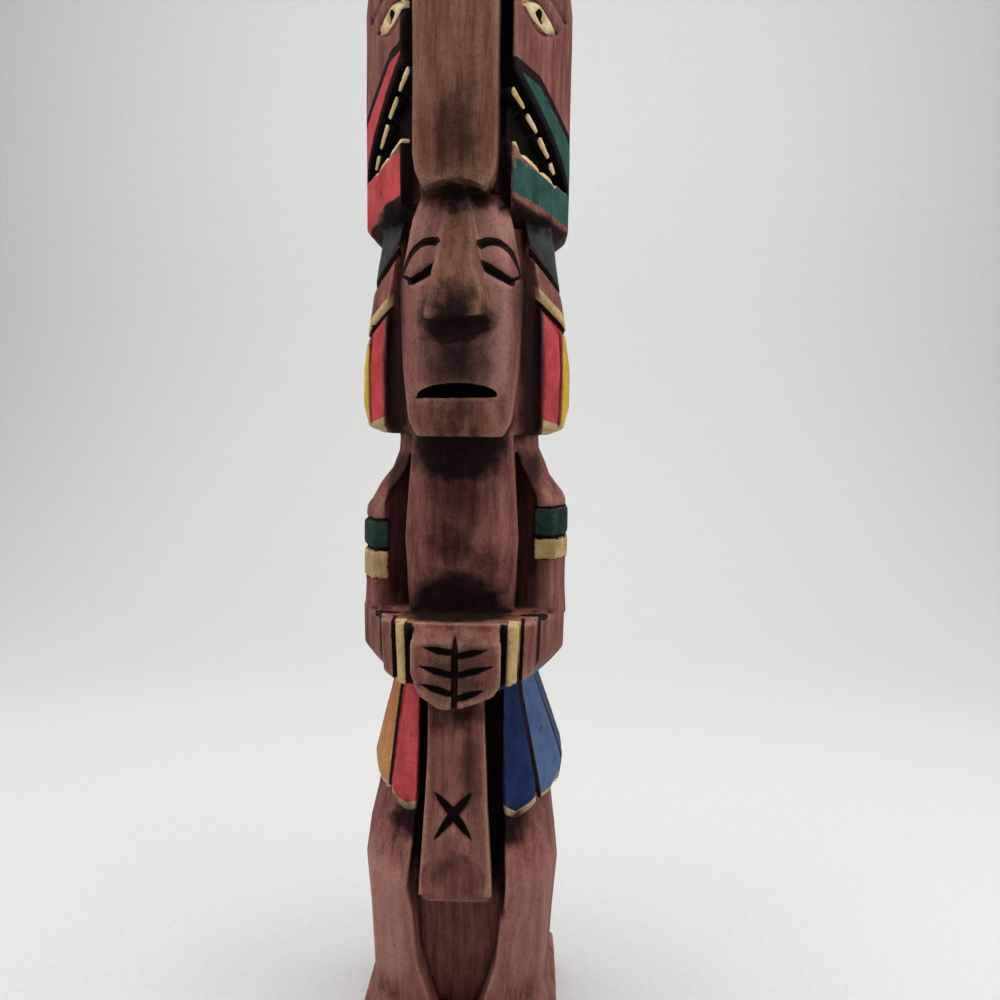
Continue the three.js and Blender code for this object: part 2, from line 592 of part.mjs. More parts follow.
// Levels of one half of the skull above the lower jaw.
function skullLevels(side) {
  const corner = cheekBack(side);
  const [wide, y] = corner;
  return [
    [JAW_TOP - 1, [CHEEK_FRONT, corner, [wide, 20], [24, 32]]],
    [HEIGHT - 26, [CHEEK_FRONT, corner, [wide, 20], [24, 32.4]]],
    [HEIGHT - 15, [[14.6, -23], [wide - 1.6, y - 1], [wide - 1, 19], [24, 31.6]]],
    [HEIGHT - 4, [[12.6, -13], [wide - 5.2, y - 3], [wide - 4.4, 17], [22.4, 28.6]]],
    [HEIGHT, [[10, -8], [wide - 10, y - 3], [wide - 9, 14], [18, 24]]],
  ];
}

// A place on the slanting cheek: t runs from the snout (0) to the corner of the jaws (1).
function onCheek(side, t, z, inset = 0) {
  const [x0, y0] = CHEEK_FRONT;
  const [x1, y1] = cheekBack(side);
  const length = Math.hypot(x1 - x0, y1 - y0);
  const inward = [(y1 - y0) / length, (x1 - x0) / length];
  const x = x0 + (x1 - x0) * t - inset * inward[0];
  return point(side * x, y0 + (y1 - y0) * t + inset * inward[1], z);
}

// The lower jaw is upright down to its lip, and its underside falls away to the figure's brow.
function lowerJaw(side) {
  const [wide, y] = cheekBack(side);
  const ring = (stops) => [...stops, [0, ...stops[0].slice(1)], [0, ...stops.at(-1).slice(1)]]
    .map(([x, depth, z]) => point(side * x, depth, z));
  const edge = JAW_LOW - 2;
  const lip = [[...CHEEK_FRONT, JAW_LOW], [wide, y, edge], [wide, 20, edge], [24, 32, edge]];
  const top = lip.map(([x, depth]) => [x, depth, JAW_TOP]);
  const low = JAW_LOW - 6.4;
  const under = [[12.6, -22.6, JAW_LOW - 2.8], [wide - 5, y - 1, low], [wide - 5, 18, low], [22, 29, low]];
  return block([...ring(lip), ...ring(top)]).add(block([...ring(lip), ...ring(under)]));
}

// Height of the lower jaw's rim and of the upper jaw's edge on each cheek, t as in onCheek. The
// edge leaves the corner of the jaws steeply and levels out forwards. The side at -X opens wider.
const JAW_CORNER = 0.975;
const rim = (side, t) => JAW_TOP + (side > 0
  ? 3.3 - 5 * t + 1.6 * Math.min(1, Math.max(0, 1 - t / 0.12))
  : 8.5 - 7 * t);
const upperEdge = (side, t) => {
  const [hinge, reach] = side > 0 ? [-6.5, 30] : [-3, 35];
  return JAW_TOP + hinge + reach * Math.pow(1.01 - Math.max(0, t), 0.52);
};

// An outline drawn on a cheek as [t, z] pairs, cut straight in to the given depth.
function cheekCut(side, outline, depth) {
  const clear = 3;
  const from = onCheek(side, 0, 0);
  const along = onCheek(side, 1, 0).sub(from);
  const shape = new THREE.Shape(outline.map(([t, z]) => new THREE.Vector2(t * along.length(), z)));
  const geometry = new THREE.ExtrudeGeometry(shape, { depth: depth + clear, bevelEnabled: false });
  const up = point(0, 0, 1);
  along.normalize();
  geometry.translate(0, 0, side > 0 ? -depth : -clear);
  geometry.applyMatrix4(new THREE.Matrix4().makeBasis(along, up, along.clone().cross(up)));
  geometry.translate(from.x, from.y, 0);
  return solid(geometry);
}

// The open mouth. Short nicks in the lower rim part its low teeth.
function gape(side) {
  const steps = 24;
  const nicks = [0.1, 0.44, 0.7];
  const front = -0.32;
  const places = Array.from({ length: steps + 1 }, (_, i) => front + (JAW_CORNER - front) * (i / steps));
  const nick = (t) => nicks.reduce((deep, at) => Math.max(deep, 1.3 - Math.abs(t - at) * 36), 0);
  const lower = [...places, ...nicks].sort((a, b) => a - b).map((t) => [t, rim(side, t) - nick(t)]);
  const upper = places.slice(0, -1).reverse().map((t) => [t, upperEdge(side, t)]);
  return cheekCut(side, [...lower, ...upper], MOUTH_DEPTH);
}

// The upper teeth are short bars that follow the upper jaw's edge below a dark gap.
function teeth(side) {
  const shift = side < 0 ? 0.09 : 0;
  const length = onCheek(side, 1, 0).distanceTo(onCheek(side, 0, 0));
  const gap = 3.6;
  const below = (t, distance) => {
    const step = 0.02;
    const drop = upperEdge(side, t) - upperEdge(side, t + step);
    const fall = new THREE.Vector2(length * step, -drop).normalize();
    return [t + (fall.y * distance) / length, upperEdge(side, t) - fall.x * distance];
  };
  return join([[0.03, 0.24], [0.28, 0.47], [0.51, 0.7], [0.74, 0.84]].map(([a, b]) => {
    const [from, to] = [a + shift, b + shift];
    const corners = [below(from, gap), below(to, gap), below(from, gap + 2.6), below(to, gap + 1.6)];
    return block([0.4, MOUTH_DEPTH + 0.5].flatMap(
      (inset) => corners.map(([t, z]) => onCheek(side, t, z, inset))));
  }));
}

// The snout hangs over the open jaws. Its lower corners are cut away and its end is arched.
function snout() {
  const x = CENTRE_LINE - 0.7;
  const low = JAW_LOW + 1.4;
  const top = HEIGHT - 38;
  const pairs = (rows, y) => rows.flatMap(([half, z]) => SIDES.map((side) => point(x + side * half, y, z)));
  const shaft = block([
    ...pairs([[8.9, low], [11.4, low + 4.2], [12.3, low + 9.6], [12.3, top]], FRONT + 1),
    ...pairs([[8.9, low], [11.4, low + 4.2], [12.3, low + 9.6], [12.3, top]], -20),
    ...pairs([[7.4, low], [9.4, low + 6], [9.8, top]], FRONT),
  ]);
  const bridge = block(SIDES.flatMap((side) => [
    point(x + side * 12.3, FRONT + 1, top), point(x + side * 9.8, FRONT, top),
    point(x + side * 12.3, -16, top - 6),
    point(x + side * 10.6, -27, HEIGHT - 17), point(x + side * 10.6, -10, HEIGHT - 10),
    point(x + side * 8, -14, HEIGHT - 5),
  ]));
  const arch = new THREE.CylinderGeometry(18, 18, 40, 48);
  arch.translate(x, -30, low - 15.8);
  return shaft.add(bridge).subtract(solid(arch));
}

// The jaws' ends beside the snout, and the throat under it, are cut back into the shade.
function jawEnds() {
  const middle = CENTRE_LINE - 1.7;
  const half = 16.9;
  const ends = SIDES.map((side) => block([JAW_LOW - 4, HEIGHT - 30].flatMap((z) => [
    point(middle + side * half, -40, z), point(middle + side * 10, -40, z),
    point(middle + side * half, -23, z), point(middle + side * 10, -21, z),
  ])));
  return [...ends, box([middle - 12, middle + 12], [-40, -22], [JAW_LOW - 4, JAW_LOW + 1.6])];
}

// Almond eyes high on the slanting cheeks, with a heavy brow line over each.
function animalEyes() {
  const z = HEIGHT - 36;
  return SIDES.flatMap((side) => {
    const out = point(side * 0.88, -0.48, 0);
    const on = (t, rise) => onCheek(side, t, z + rise);
    return [
      groove(curve([on(0.08, -1.4), on(0.38, 4), on(0.74, 0.6)], 8), out, 2.2, 1.8),
      groove(curve([on(0.08, -1.4), on(0.42, -4), on(0.74, 0.6)], 8), out, 2, 1.6),
      groove(line(on(0.28, 0), on(0.52, 0.3), 4), out, 4, 2, leaf),
      groove(curve([on(0, 6), on(0.36, 10), on(0.9, 6)], 8), out, 2.4, 2),
    ];
  });
}

const crownGroove = () => groove([
  point(CENTRE_LINE, -27, HEIGHT - 15), point(CENTRE_LINE, -14, HEIGHT - 5),
  point(CENTRE_LINE, -8, HEIGHT), point(CENTRE_LINE, 22, HEIGHT),
], point(0, -0.4, 0.92), 2.4, 2);

const skullBackGrooves = () => [-16, 0, 16].map((x) => groove(
  [point(x, 32.6, JAW_LOW), point(x, 32.6, HEIGHT - 26), point(x, 25, HEIGHT)],
  point(0, 1, 0), 2.4, 1.8));

// ---------------------------------------------------------------- carving order

function carve() {
  const arms = cutAll(join(SIDES.map((side) => mass(armLevels(side), [side]))), armHollows());
  const lower = cutAll(mass(LEG_LEVELS).add(feet()).add(skirt()), legSlots());
  const head = join([mass(HAIR_LEVELS), earFeathers(), earPlates()]);
  const jawsShut = join(SIDES.flatMap((side) => [mass(skullLevels(side), [side]), lowerJaw(side)]));
  const opened = cutAll(jawsShut, [...SIDES.map(gape), ...jawEnds()]);
  const skull = opened.add(box([8, 14.4], [-23, -14], [JAW_LOW - 2, JAW_TOP + 7]));
  const figure = join([
    base(), lower, apron().subtract(apronScoop()), mass(FOREARM_LEVELS), cuffs(), hands(),
    arms, torso(), armbands(), head,
  ]);
  const face = cutAll(facePlate(), [...cheekFacets(), mouth()]);
  const lined = cutAll(figure, [
    ...toeGrooves(), ...crossMark(), ...skirtLines(), ...fingerCuts(), ...cuffGrooves(),
    ...bandNotches(), ...elbowCreases(), ...earLines(), ...hairGrooves(),
  ]);
  const faced = lined.add(cutAll(face, eyeCuts())).add(nose());
  const animal = join([skull, ...SIDES.map(teeth), snout()]);
  return faced.add(cutAll(animal, [
    ...animalEyes(), crownGroove(), ...skullBackGrooves(),
  ]));
}

function meshOf(carving) {
  const { vertProperties, triVerts } = carving.getMesh();
  const geometry = new THREE.BufferGeometry();
  geometry.setAttribute('position', new THREE.BufferAttribute(new Float32Array(vertProperties), 3));
  geometry.setIndex(new THREE.BufferAttribute(new Uint32Array(triVerts), 1));
  geometry.computeVertexNormals();
  return geometry;
}

const stainedWood = new THREE.MeshStandardMaterial({ color: 0x74493f, roughness: 0.62, metalness: 0 });
const pole = new THREE.Mesh(meshOf(carve()), stainedWood);
pole.name = 'totem_pole';

const totem = new THREE.Group();
totem.add(pole);

export default totem;
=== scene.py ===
# %% [markdown]
# # A carved and painted totem pole
# The real thing is one squared beam of wood, roughed out with a saw and chisels, cut with V
# grooves, stained dark, rubbed back, and painted on the jaws, ear feathers, armbands, cuffs and
# skirt. The shape already exists as a solid with sharp facets. What is missing is the hand:
# sanded edges, tool marks, fibres, stain in the cuts, and paint that stops raggedly.

# %% Load the solid and keep its size
import itertools
import math

import bmesh
import bpy
import numpy as np
from mathutils import Matrix, Vector


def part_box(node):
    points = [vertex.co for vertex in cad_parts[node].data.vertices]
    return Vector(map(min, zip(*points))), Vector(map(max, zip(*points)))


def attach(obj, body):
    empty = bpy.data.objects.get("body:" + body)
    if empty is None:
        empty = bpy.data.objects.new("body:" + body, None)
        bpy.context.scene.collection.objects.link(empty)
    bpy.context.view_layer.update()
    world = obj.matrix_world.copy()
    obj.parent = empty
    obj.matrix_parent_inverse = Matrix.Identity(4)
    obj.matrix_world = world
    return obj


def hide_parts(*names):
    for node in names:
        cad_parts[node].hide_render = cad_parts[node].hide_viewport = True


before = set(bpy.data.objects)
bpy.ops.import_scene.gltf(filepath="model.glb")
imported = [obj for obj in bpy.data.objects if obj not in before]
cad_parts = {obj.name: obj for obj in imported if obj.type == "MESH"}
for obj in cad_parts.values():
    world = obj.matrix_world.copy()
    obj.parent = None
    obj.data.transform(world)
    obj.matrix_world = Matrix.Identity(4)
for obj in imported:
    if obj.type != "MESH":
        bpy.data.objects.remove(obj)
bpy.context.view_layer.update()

MM = 0.001
low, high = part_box("totem_pole")
HEIGHT = high[2] / MM
print("solid", [round(v / MM, 1) for v in low], [round(v / MM, 1) for v in high])

# %% [markdown]
# ## The camera
# A small carving is looked at from close by, so the lens is wide and stands only a hand's
# length away, at the height of the chin and a little to the right. That is why the head seems
# to lean over and the feet to run away below. The camera comes first, because every later
# choice is judged through it.

# %% Camera
def facing(turn, fall, lean):
    """Right, up and back directions of a camera turned, tilted down and leaned by angles."""
    ahead_flat = Vector((-math.sin(turn), math.cos(turn), 0))
    right_flat = Vector((math.cos(turn), math.sin(turn), 0))
    ahead = ahead_flat * math.cos(fall) + Vector((0, 0, -math.sin(fall)))
    up_flat = right_flat.cross(ahead)
    right = right_flat * math.cos(lean) + up_flat * math.sin(lean)
    up = up_flat * math.cos(lean) - right_flat * math.sin(lean)
    return right, up, -ahead


turn, fall, lean = (math.radians(a) for a in (1.9, 6.0, 0.8))
right, up, back = facing(turn, fall, lean)
eye = Vector((0.0202, -0.2569, 0.222))
camera = bpy.data.objects.new("camera", bpy.data.cameras.new("camera"))
camera.data.lens = 27.04
camera.data.clip_start = 0.01
camera.matrix_world = Matrix((
    (right.x, up.x, back.x, eye.x), (right.y, up.y, back.y, eye.y),
    (right.z, up.z, back.z, eye.z), (0, 0, 0, 1)))
bpy.context.scene.collection.objects.link(camera)
bpy.context.scene.camera = camera
print("camera", round(eye.length, 3), "m from the foot of the pole")

# %% [markdown]
# ## The floor and the light
# A sheet of pale paper runs along the table and curves up behind, so there is no corner. The
# surface is a profile of flat, gentle bend and upright, carried sideways. Two broad panels
# of light stand left and right in front, one hangs above, one lights the upright paper, and the
# sky fills in the rest, which keeps the shadows in the carving soft but deep.

# %% Paper sheet
def paper(width, front, bend, length, top):
    """A flat strip from front to bend, a bend of some length, then straight up to the top.

    The angle turned grows from nothing to a right angle as 3 s^2 - 2 s^3 of the share s of the
    bend, and each small step goes on by its cosine and rises by its sine.
    """
    steps = 60
    share = (np.arange(steps) + 0.5) / steps
    turned = np.pi / 2 * share * share * (3 - 2 * share)
    y = bend + np.concatenate([[0], np.cumsum(np.cos(turned))]) * length / steps
    z = np.concatenate([[0], np.cumsum(np.sin(turned))]) * length / steps
    y = np.concatenate([np.linspace(front, bend, 30)[:-1], y, np.full(20, y[-1])])
    z = np.concatenate([np.zeros(29), z, np.linspace(z[-1], top, 21)[1:]])
    across = np.linspace(-width, width, 40)
    x, y = np.meshgrid(across, y)
    z = np.repeat(z[:, None], across.size, axis=1)
    return np.stack([x, y, z], axis=-1)


def sheet_mesh(name, grid):
    """A mesh of squares over a grid of points."""
    rows, columns = grid.shape[:2]
    index = np.arange(rows * columns).reshape(rows, columns)
    quads = np.stack([index[:-1, :-1], index[:-1, 1:], index[1:, 1:], index[1:, :-1]], axis=-1)
    mesh = bpy.data.meshes.new(name)
    mesh.from_pydata(grid.reshape(-1, 3).tolist(), [], quads.reshape(-1, 4).tolist())
    mesh.polygons.foreach_set("use_smooth", [True] * len(mesh.polygons))
    return mesh


sheet = paper(width=2.4, front=-1.6, bend=0.32, length=0.75, top=2.4)
floor = bpy.data.objects.new("paper", sheet_mesh("paper", sheet))
bpy.context.scene.collection.objects.link(floor)
print("paper", len(floor.data.polygons), "squares")


# %% Lights
def panel_light(name, place, aim, width, height, watts):
    """A flat panel of light at a place, turned to face a point."""
    lamp = bpy.data.lights.new(name, "AREA")
    lamp.shape, lamp.size, lamp.size_y = "RECTANGLE", width, height
    lamp.energy = watts
    holder = bpy.data.objects.new(name, lamp)
    holder.location = place
    holder.rotation_euler = (Vector(aim) - Vector(place)).to_track_quat("-Z", "Y").to_euler()
    bpy.context.scene.collection.objects.link(holder)


chest = (0, 0, 0.2)
panel_light("light_above", (0.0, -0.12, 0.95), chest, 0.8, 0.5, 7.0)
panel_light("light_left", (-0.75, -0.22, 0.42), chest, 0.6, 0.7, 2.8)
panel_light("light_right", (0.75, -0.2, 0.42), chest, 0.6, 0.7, 3.3)
panel_light("light_backdrop", (0, 0.1, 1.35), (0, 0.6, 0.8), 1.6, 0.4, 5.5)
sky = bpy.data.worlds.new("sky")
bpy.context.scene.world = sky
sky.use_nodes = True
sky.node_tree.nodes["Background"].inputs["Color"].default_value = (1, 1, 1, 1)
sky.node_tree.nodes["Background"].inputs["Strength"].default_value = 0.18
bpy.context.scene.view_settings.view_transform = "Standard"

# %% [markdown]
# ## From facets to a hand-worked skin
# The solid's facets meet at knife edges. A carver's never do: sandpaper takes the corners off
# and leaves the cuts sharp. So a copy of the solid is first wrapped in an even skin of small
# squares, because only a skin has points where there is nothing but a flat to work on.

# %% Wrap a copy of the solid
SKIN = 0.4
FACES = 188000  # triangles left after thinning
NEAR_EDGE = 0.3  # points this near an edge of paint are kept, in mm
FAR = 6  # no field says more than this, in mm


def changed(thing, kind, **settings):
    """The mesh a piece would have with one more modifier; the piece itself stays as it is."""
    worker = thing.modifiers.new("worker", kind)
    for name, value in settings.items():
        setattr(worker, name, value)
    graph = bpy.context.evaluated_depsgraph_get()
    mesh = bpy.data.meshes.new_from_object(thing.evaluated_get(graph))
    thing.modifiers.remove(worker)
    return mesh


def merged_copy(source, name):
    """A solid's loose triangles joined at their corners, as a new piece."""
    form = bmesh.new()
    form.from_mesh(source.data)
    bmesh.ops.remove_doubles(form, verts=form.verts, dist=1e-6)
    mesh = bpy.data.meshes.new(name)
    form.to_mesh(mesh)
    form.free()
    thing = bpy.data.objects.new(name, mesh)
    bpy.context.scene.collection.objects.link(thing)
    return thing


carving = merged_copy(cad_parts["totem_pole"], "carved_pole")
carving.data = changed(carving, "REMESH", mode="VOXEL", voxel_size=SKIN * MM)
print("skin", len(carving.data.vertices), "points")


# %% Read the skin into arrays
def points_of(mesh):
    """Every point of a mesh in millimetres."""
    flat = np.empty(len(mesh.vertices) * 3)
    mesh.vertices.foreach_get("co", flat)
    return flat.reshape(-1, 3) / MM


def normals_of(mesh):
    """The outward direction at every point."""
    flat = np.empty(len(mesh.vertices) * 3)
    mesh.vertex_normals.foreach_get("vector", flat)
    return flat.reshape(-1, 3)


def put_points(mesh, points):
    """Moves every point of a mesh to a place in millimetres."""
    mesh.vertices.foreach_set("co", (points * MM).ravel())
    mesh.update()


def keep_field(mesh, name, values):
    """Stores one number per point under a name that a material can read."""
    field = mesh.attributes.get(name) or mesh.attributes.new(name, "FLOAT", "POINT")
    field.data.foreach_set("value", np.ascontiguousarray(values, dtype=np.float32))


def hollowness(thing, reach):
    """How far each point lies under a copy of the skin that is blurred over the reach, in mm."""
    strokes = max(1, round(4 * (reach / SKIN) ** 2))
    blurred = changed(thing, "SMOOTH", factor=0.5, iterations=strokes)
    rise = points_of(blurred) - points_of(thing.data)
    bpy.data.meshes.remove(blurred)
    return np.sum(rise * normals_of(thing.data), axis=1)


print("sharpest edge stands", round(-hollowness(carving, 1.0).min(), 2), "mm proud")

# %% [markdown]
# ## Sanding
# Sanding takes the most from the sharpest places. Blurring a copy of the skin says where those
# are: an outer edge stands out of the blurred copy, a cut lies under it. So every point that
# stands out is moved back by a share of that height, and points in cuts stay where they are.
# The grooves keep crisp dark floors while the corners turn soft.

# %% Sand the outer edges
def sanded(thing, reach, share, most):
    """Moves points that stand proud of the blurred skin inwards by a share of their height."""
    proud = np.clip(-hollowness(thing, reach), 0, most / share)
    put_points(thing.data, points_of(thing.data) - normals_of(thing.data) * (share * proud)[:, None])
    return proud.max() * share


MOST_SANDED = 0.8
for blur, share in ((0.5, 0.8), (1.3, 0.75), (0.5, 0.8)):
    print("sanded off", round(sanded(carving, blur, share, MOST_SANDED), 2), "mm at most")

# %% [markdown]
# ## Tool marks, fibres and torn edges
# The chisel leaves shallow waves as wide as its edge, longer along the grain than across it,
# and the soft wood between the growth lines sinks a little. Both are random hills on a lattice
# that is stretched up the pole, moved out along the surface. The gold armbands were left with
# torn edges: within a millimetre of their outline the band is chipped back down to the arm.

# %% Random hills
def hills(points, cell, seed):
    """Smooth noise from -1 to 1: a random height at each lattice corner, blended between them."""
    place = points / np.asarray(cell, dtype=float)
    corner = np.floor(place).astype(np.int64)
    part = place - corner
    part = part * part * (3 - 2 * part)
    total = np.zeros(len(points))
    for step in itertools.product((0, 1), repeat=3):
        mixed = (corner + step) @ np.array([73856093, 19349663, 83492791]) + seed * 7919
        mixed = (mixed ^ (mixed >> 13)) * 1274126177
        height = ((mixed ^ (mixed >> 16)) & 0xFFFF) / 32767.5 - 1
        total += height * np.prod(np.where(step, part, 1 - part), axis=1)
    return total


def within(*walls):
    """Inside every wall at once: the smallest distance."""
    return np.minimum.reduce(walls)


def either(*areas):
    """Inside any of the areas: the largest distance."""
    return np.maximum.reduce(areas)


def between(values, start, end):
    """Inside a slab between two bounds, each a number or one for every point."""
    return within(values - start, end - values)


def arm_band(points, side, start, end, torn=0.0):
    """Millimetres inside an armband's outline, torn by random hills."""
    inner = 23.4 if side > 0 else 24.4
    sheet = within(between(points[:, 2], start, end), side * points[:, 0] - inner, 26 - points[:, 1])
    return sheet - torn * np.abs(hills(points, (1.5, 1.5, 1.1), 4)) if torn else sheet


def gold_bands(points):
    """Millimetres inside the torn outline of either arm's gold band."""
    return either(arm_band(points, -1, 169.4, 179, 1.1), arm_band(points, 1, 177, 184, 1.1))


def tool_marks(points):
    """Broad waves, narrower gouge strokes and fine fibres, in millimetres."""
    broad = 0.13 * hills(points, (11, 11, 19), 1)
    stroke = -0.12 * np.abs(hills(points, (4.2, 4.2, 16), 2))
    fibre = 0.03 * hills(points, (0.9, 0.9, 12), 3)
    return broad + stroke + fibre


skin_points = points_of(carving.data)
BAND_THICK = 0.45
chipped = np.clip(-gold_bands(skin_points) / 0.3, 0, 1)
on_band = either(arm_band(skin_points, -1, 169.1, 179.3), arm_band(skin_points, 1, 176.7, 184.3)) > 0
marks = tool_marks(skin_points) - BAND_THICK * chipped * on_band
above_floor = np.clip((skin_points[:, 2] - 0.6) / 3, 0, 1)
put_points(carving.data, skin_points + normals_of(carving.data) * (marks * above_floor)[:, None])
print("marks from", round(marks.min(), 2), "to", round(marks.max(), 2), "mm")

# %% [markdown]
# ## How hollow and how proud each place is
# Stain gathers in cuts, shade is painted into whole recesses, and edges are rubbed and painted lighter, so
# each point keeps how far it lies under the blurred skin: more than nothing in a cut, less than nothing on an
# edge. A short blur finds grooves and a long one finds whole recesses.

# %% Measure cuts and recesses
GROOVE_BLUR, RECESS_BLUR = 0.9, 3.2
keep_field(carving.data, "groove", hollowness(carving, GROOVE_BLUR))
keep_field(carving.data, "recess", hollowness(carving, RECESS_BLUR))
spot = points_of(carving.data)
x, y, z = spot.T
reach = np.abs(x)
hanging = -normals_of(carving.data)[:, 2]
print("fields", [a.name for a in carving.data.attributes if a.data_type == "FLOAT"])

# %% [markdown]
# ## Where the paint lies
# Paint has a hard edge, much finer than the mesh. Painting the faces would give a saw-toothed
# edge, so each colour is kept as a distance instead: millimetres inside its nearest boundary,
# less than nothing outside. Distances blend evenly across a triangle, and the material cuts
# them off at zero, wherever that falls. A boundary is a plane, a slanted line or a curve; an
# area is the smallest of its distances, and several areas together are the largest.

# %% Distances
def along(values, stops):
    """A broken line through (place, height) stops, read at every value."""
    places, heights = zip(*stops)
    return np.interp(values, places, heights)


SIDES = (-1, 1)
MIDDLE = -0.8  # the figure's own middle line stands a little to the left of the beam's
print("pole spans", round(x.min(), 1), round(x.max(), 1), "mm across")

# %% [markdown]
# ### The jaws
# On each slanting cheek two numbers say where a point is: how far it has run from the snout to
# the corner of the jaws, and how far it stands in front of the cheek. The painted band, the
# bare strip, the low teeth, the dark gape, the upper teeth and the painted upper lip are then
# slices of height, one above the other.

# %% Cheeks
SNOUT_X = -1.5
SNOUT_HALF = 12.5
beside_snout = np.abs(x - SNOUT_X) - SNOUT_HALF


def cheek(side):
    """Share of the way from snout to jaw corner, height above the cheek, and its length."""
    x0, y0 = 15.8, -28
    x1, y1 = (33.2 if side > 0 else 34.8), 4
    length = math.hypot(x1 - x0, y1 - y0)
    run = ((side * x - x0) * (x1 - x0) + (y - y0) * (y1 - y0)) / length
    proud = ((side * x - x0) * (y1 - y0) - (y - y0) * (x1 - x0)) / length
    return run / length, np.maximum(proud, side * x - x1), length


def rim(side, t):
    """Height of the lower jaw's rim: it sinks evenly, and the right one lifts beside the snout."""
    if side > 0:
        return 302.3 - 5 * t + 1.6 * np.clip(1 - t / 0.12, 0, 1)
    return 307.5 - 7 * t


def lip(side, t):
    """Height of the upper jaw's edge: its rise above the corner is about the root of the way."""
    start, rise = (292.5, 30) if side > 0 else (296, 35)
    return start + rise * np.power(np.clip(1.01 - t, 0, 1.01), 0.52)


def band_top(side, t):
    """Height where the lower jaw's paint stops: level, then sinking; the left one also slants."""
    if side > 0:
        return 298.9 - 1.5 * np.clip(t - 0.2, 0, 0.9)
    return np.minimum(304.6 - 4.6 * np.clip(t, 0, 1.05), 302.3 + 8.8 * (t - 0.25))


def band_low(side, t):
    """Height of the paint's lower edge: level beside the face, then sinking to the corner."""
    if side > 0:
        return 288.7 - 4 * np.clip(t - 0.45, 0, 0.7)
    return 289.6 - 14 * np.clip(t - 0.55, 0, 0.45)


def jaw_areas(side):
    """The painted areas of one jaw, each the smallest of its distances to the lines around it."""
    t, proud, length = cheek(side)
    inner_end = 14.5 if side > 0 else 19.2
    skin = within(proud + 3.4, beside_snout, side * x - inner_end, 33 - y)
    hinge = (0.985 - t) * length
    band = within(between(z, band_low(side, t), band_top(side, t)), skin, (1.5 - t) * length)
    open_mouth = between(z, rim(side, t) - 0.2, lip(side, t) + 1.4)
    roof = within(z - lip(side, t) + 2.4, -0.3 - proud)
    gape = within(open_mouth, hinge + 0.8, beside_snout, side * x - 8, either(-1.2 - proud, roof))
    teeth = within(
        between(z, rim(side, t) + 1, lip(side, t) - 2.2), hinge, proud + 1.5, beside_snout, side * x - 8)
    low_teeth = within(
        between(z, rim(side, t) - 1.7, rim(side, t) + 0.9), proud + 2.6, (0.74 - t) * length, beside_snout)
    upper_top = lip(side, t - 0.4) + (1.5 if side > 0 else 0)
    past_hinge = np.maximum(lip(side, t) + 0.7, band_top(side, t) + 1.1)
    edge_line = within(1.2 - np.abs(z - lip(side, t) - 0.6) * 0.6, skin, hinge + 1.2)
    upper = within((z - past_hinge) * 0.7, (upper_top - z) * 0.7, skin, (1.42 - t) * length)
    outline = within(0.9 - np.abs(z - upper_top - 1.2) * 0.6, skin, z - 297, (1.42 - t) * length)
    return dict(
        band=band, gape=gape, teeth=either(teeth, low_teeth), upper=upper, outline=either(outline, edge_line))


jaws = {side: jaw_areas(side) for side in SIDES}
print("jaw areas", sorted(jaws[1]))

# %% [markdown]
# ### Ear feathers and plates
# Red feathers hang beside the face, with yellow ones turning the corner behind them. Over each
# ear lie a grey plate and a longer plate whose end is gold. Every feather stops in a bare tip.

# %% Ears
corner = 0.76 * (reach - 31.15) - 0.65 * (y + 9.6)
ear_tip = 221 + 0.3 * (31 - reach)
ear_front = within(reach - 25.4, 31.5 - reach, 5 + corner)
yellow_top = np.where(x > 0, 250.6, 247.4)
yellow_ear = within(reach - 31.7, between(z, 220.8, yellow_top), 6.6 - y)
ear_tips = within(either(ear_front, reach - 31), 6.6 - y, z - 216.6, ear_tip + 0.8 - z)
plate_end = np.where(x > 0, 254.0, 251.6)
short_edge = along(reach, [(18.8, 276.6), (21, 275), (28.2, 267.4), (30.4, 265), (36, 265)])
long_edge = plate_end + along(reach, [(21, 8), (24, 6), (31.2, 0), (32.8, -2), (36, -2)])
plate_inner = reach - along(z, [(252, 23.4), (262, 22.2), (270, 20.6), (277, 19.8), (285, 18.6)])
plate_back = 12.5 - y
plate_top = 286 - 0.24 * (reach - 15) - z
grey_plate = within((z - short_edge) * 0.75, plate_top, plate_inner, plate_back, (0.4 - hanging) * 4)
red_ear = within(ear_front, z - ear_tip, (long_edge - 0.4 - z) * 0.8)
gold_plate = within((z - long_edge + 0.5) * 0.8, (long_edge + 3.1 - z) * 0.8, plate_inner, plate_back)
bare_plate = within(between(z, long_edge, short_edge), plate_inner, plate_back)
print("ear paint reaches", round(float(red_ear.max()), 2), round(float(grey_plate.max()), 2), "mm in")

# %% [markdown]
# ### Armbands and wrist strips
# The bands on the two arms sit at different heights, as the carver's hand had it.

# %% Arms
green_band = either(arm_band(spot, -1, 179.8, 188.8), arm_band(spot, 1, 184.8, 193.6))
gold_band = gold_bands(spot)
strip_shift = (160 - z) * 0.03
wrist = within(between(reach + strip_shift, 15.9, 19.8), between(z, 139.2, 160.3), -27.5 - y)
print("armband paint", round(float(green_band.max()), 2), "mm in")

# %% [markdown]
# ### The feather skirt
# Each hip has a front feather, a flank feather and two more round the side, in two colours
# that take turns, all with bare golden tips.

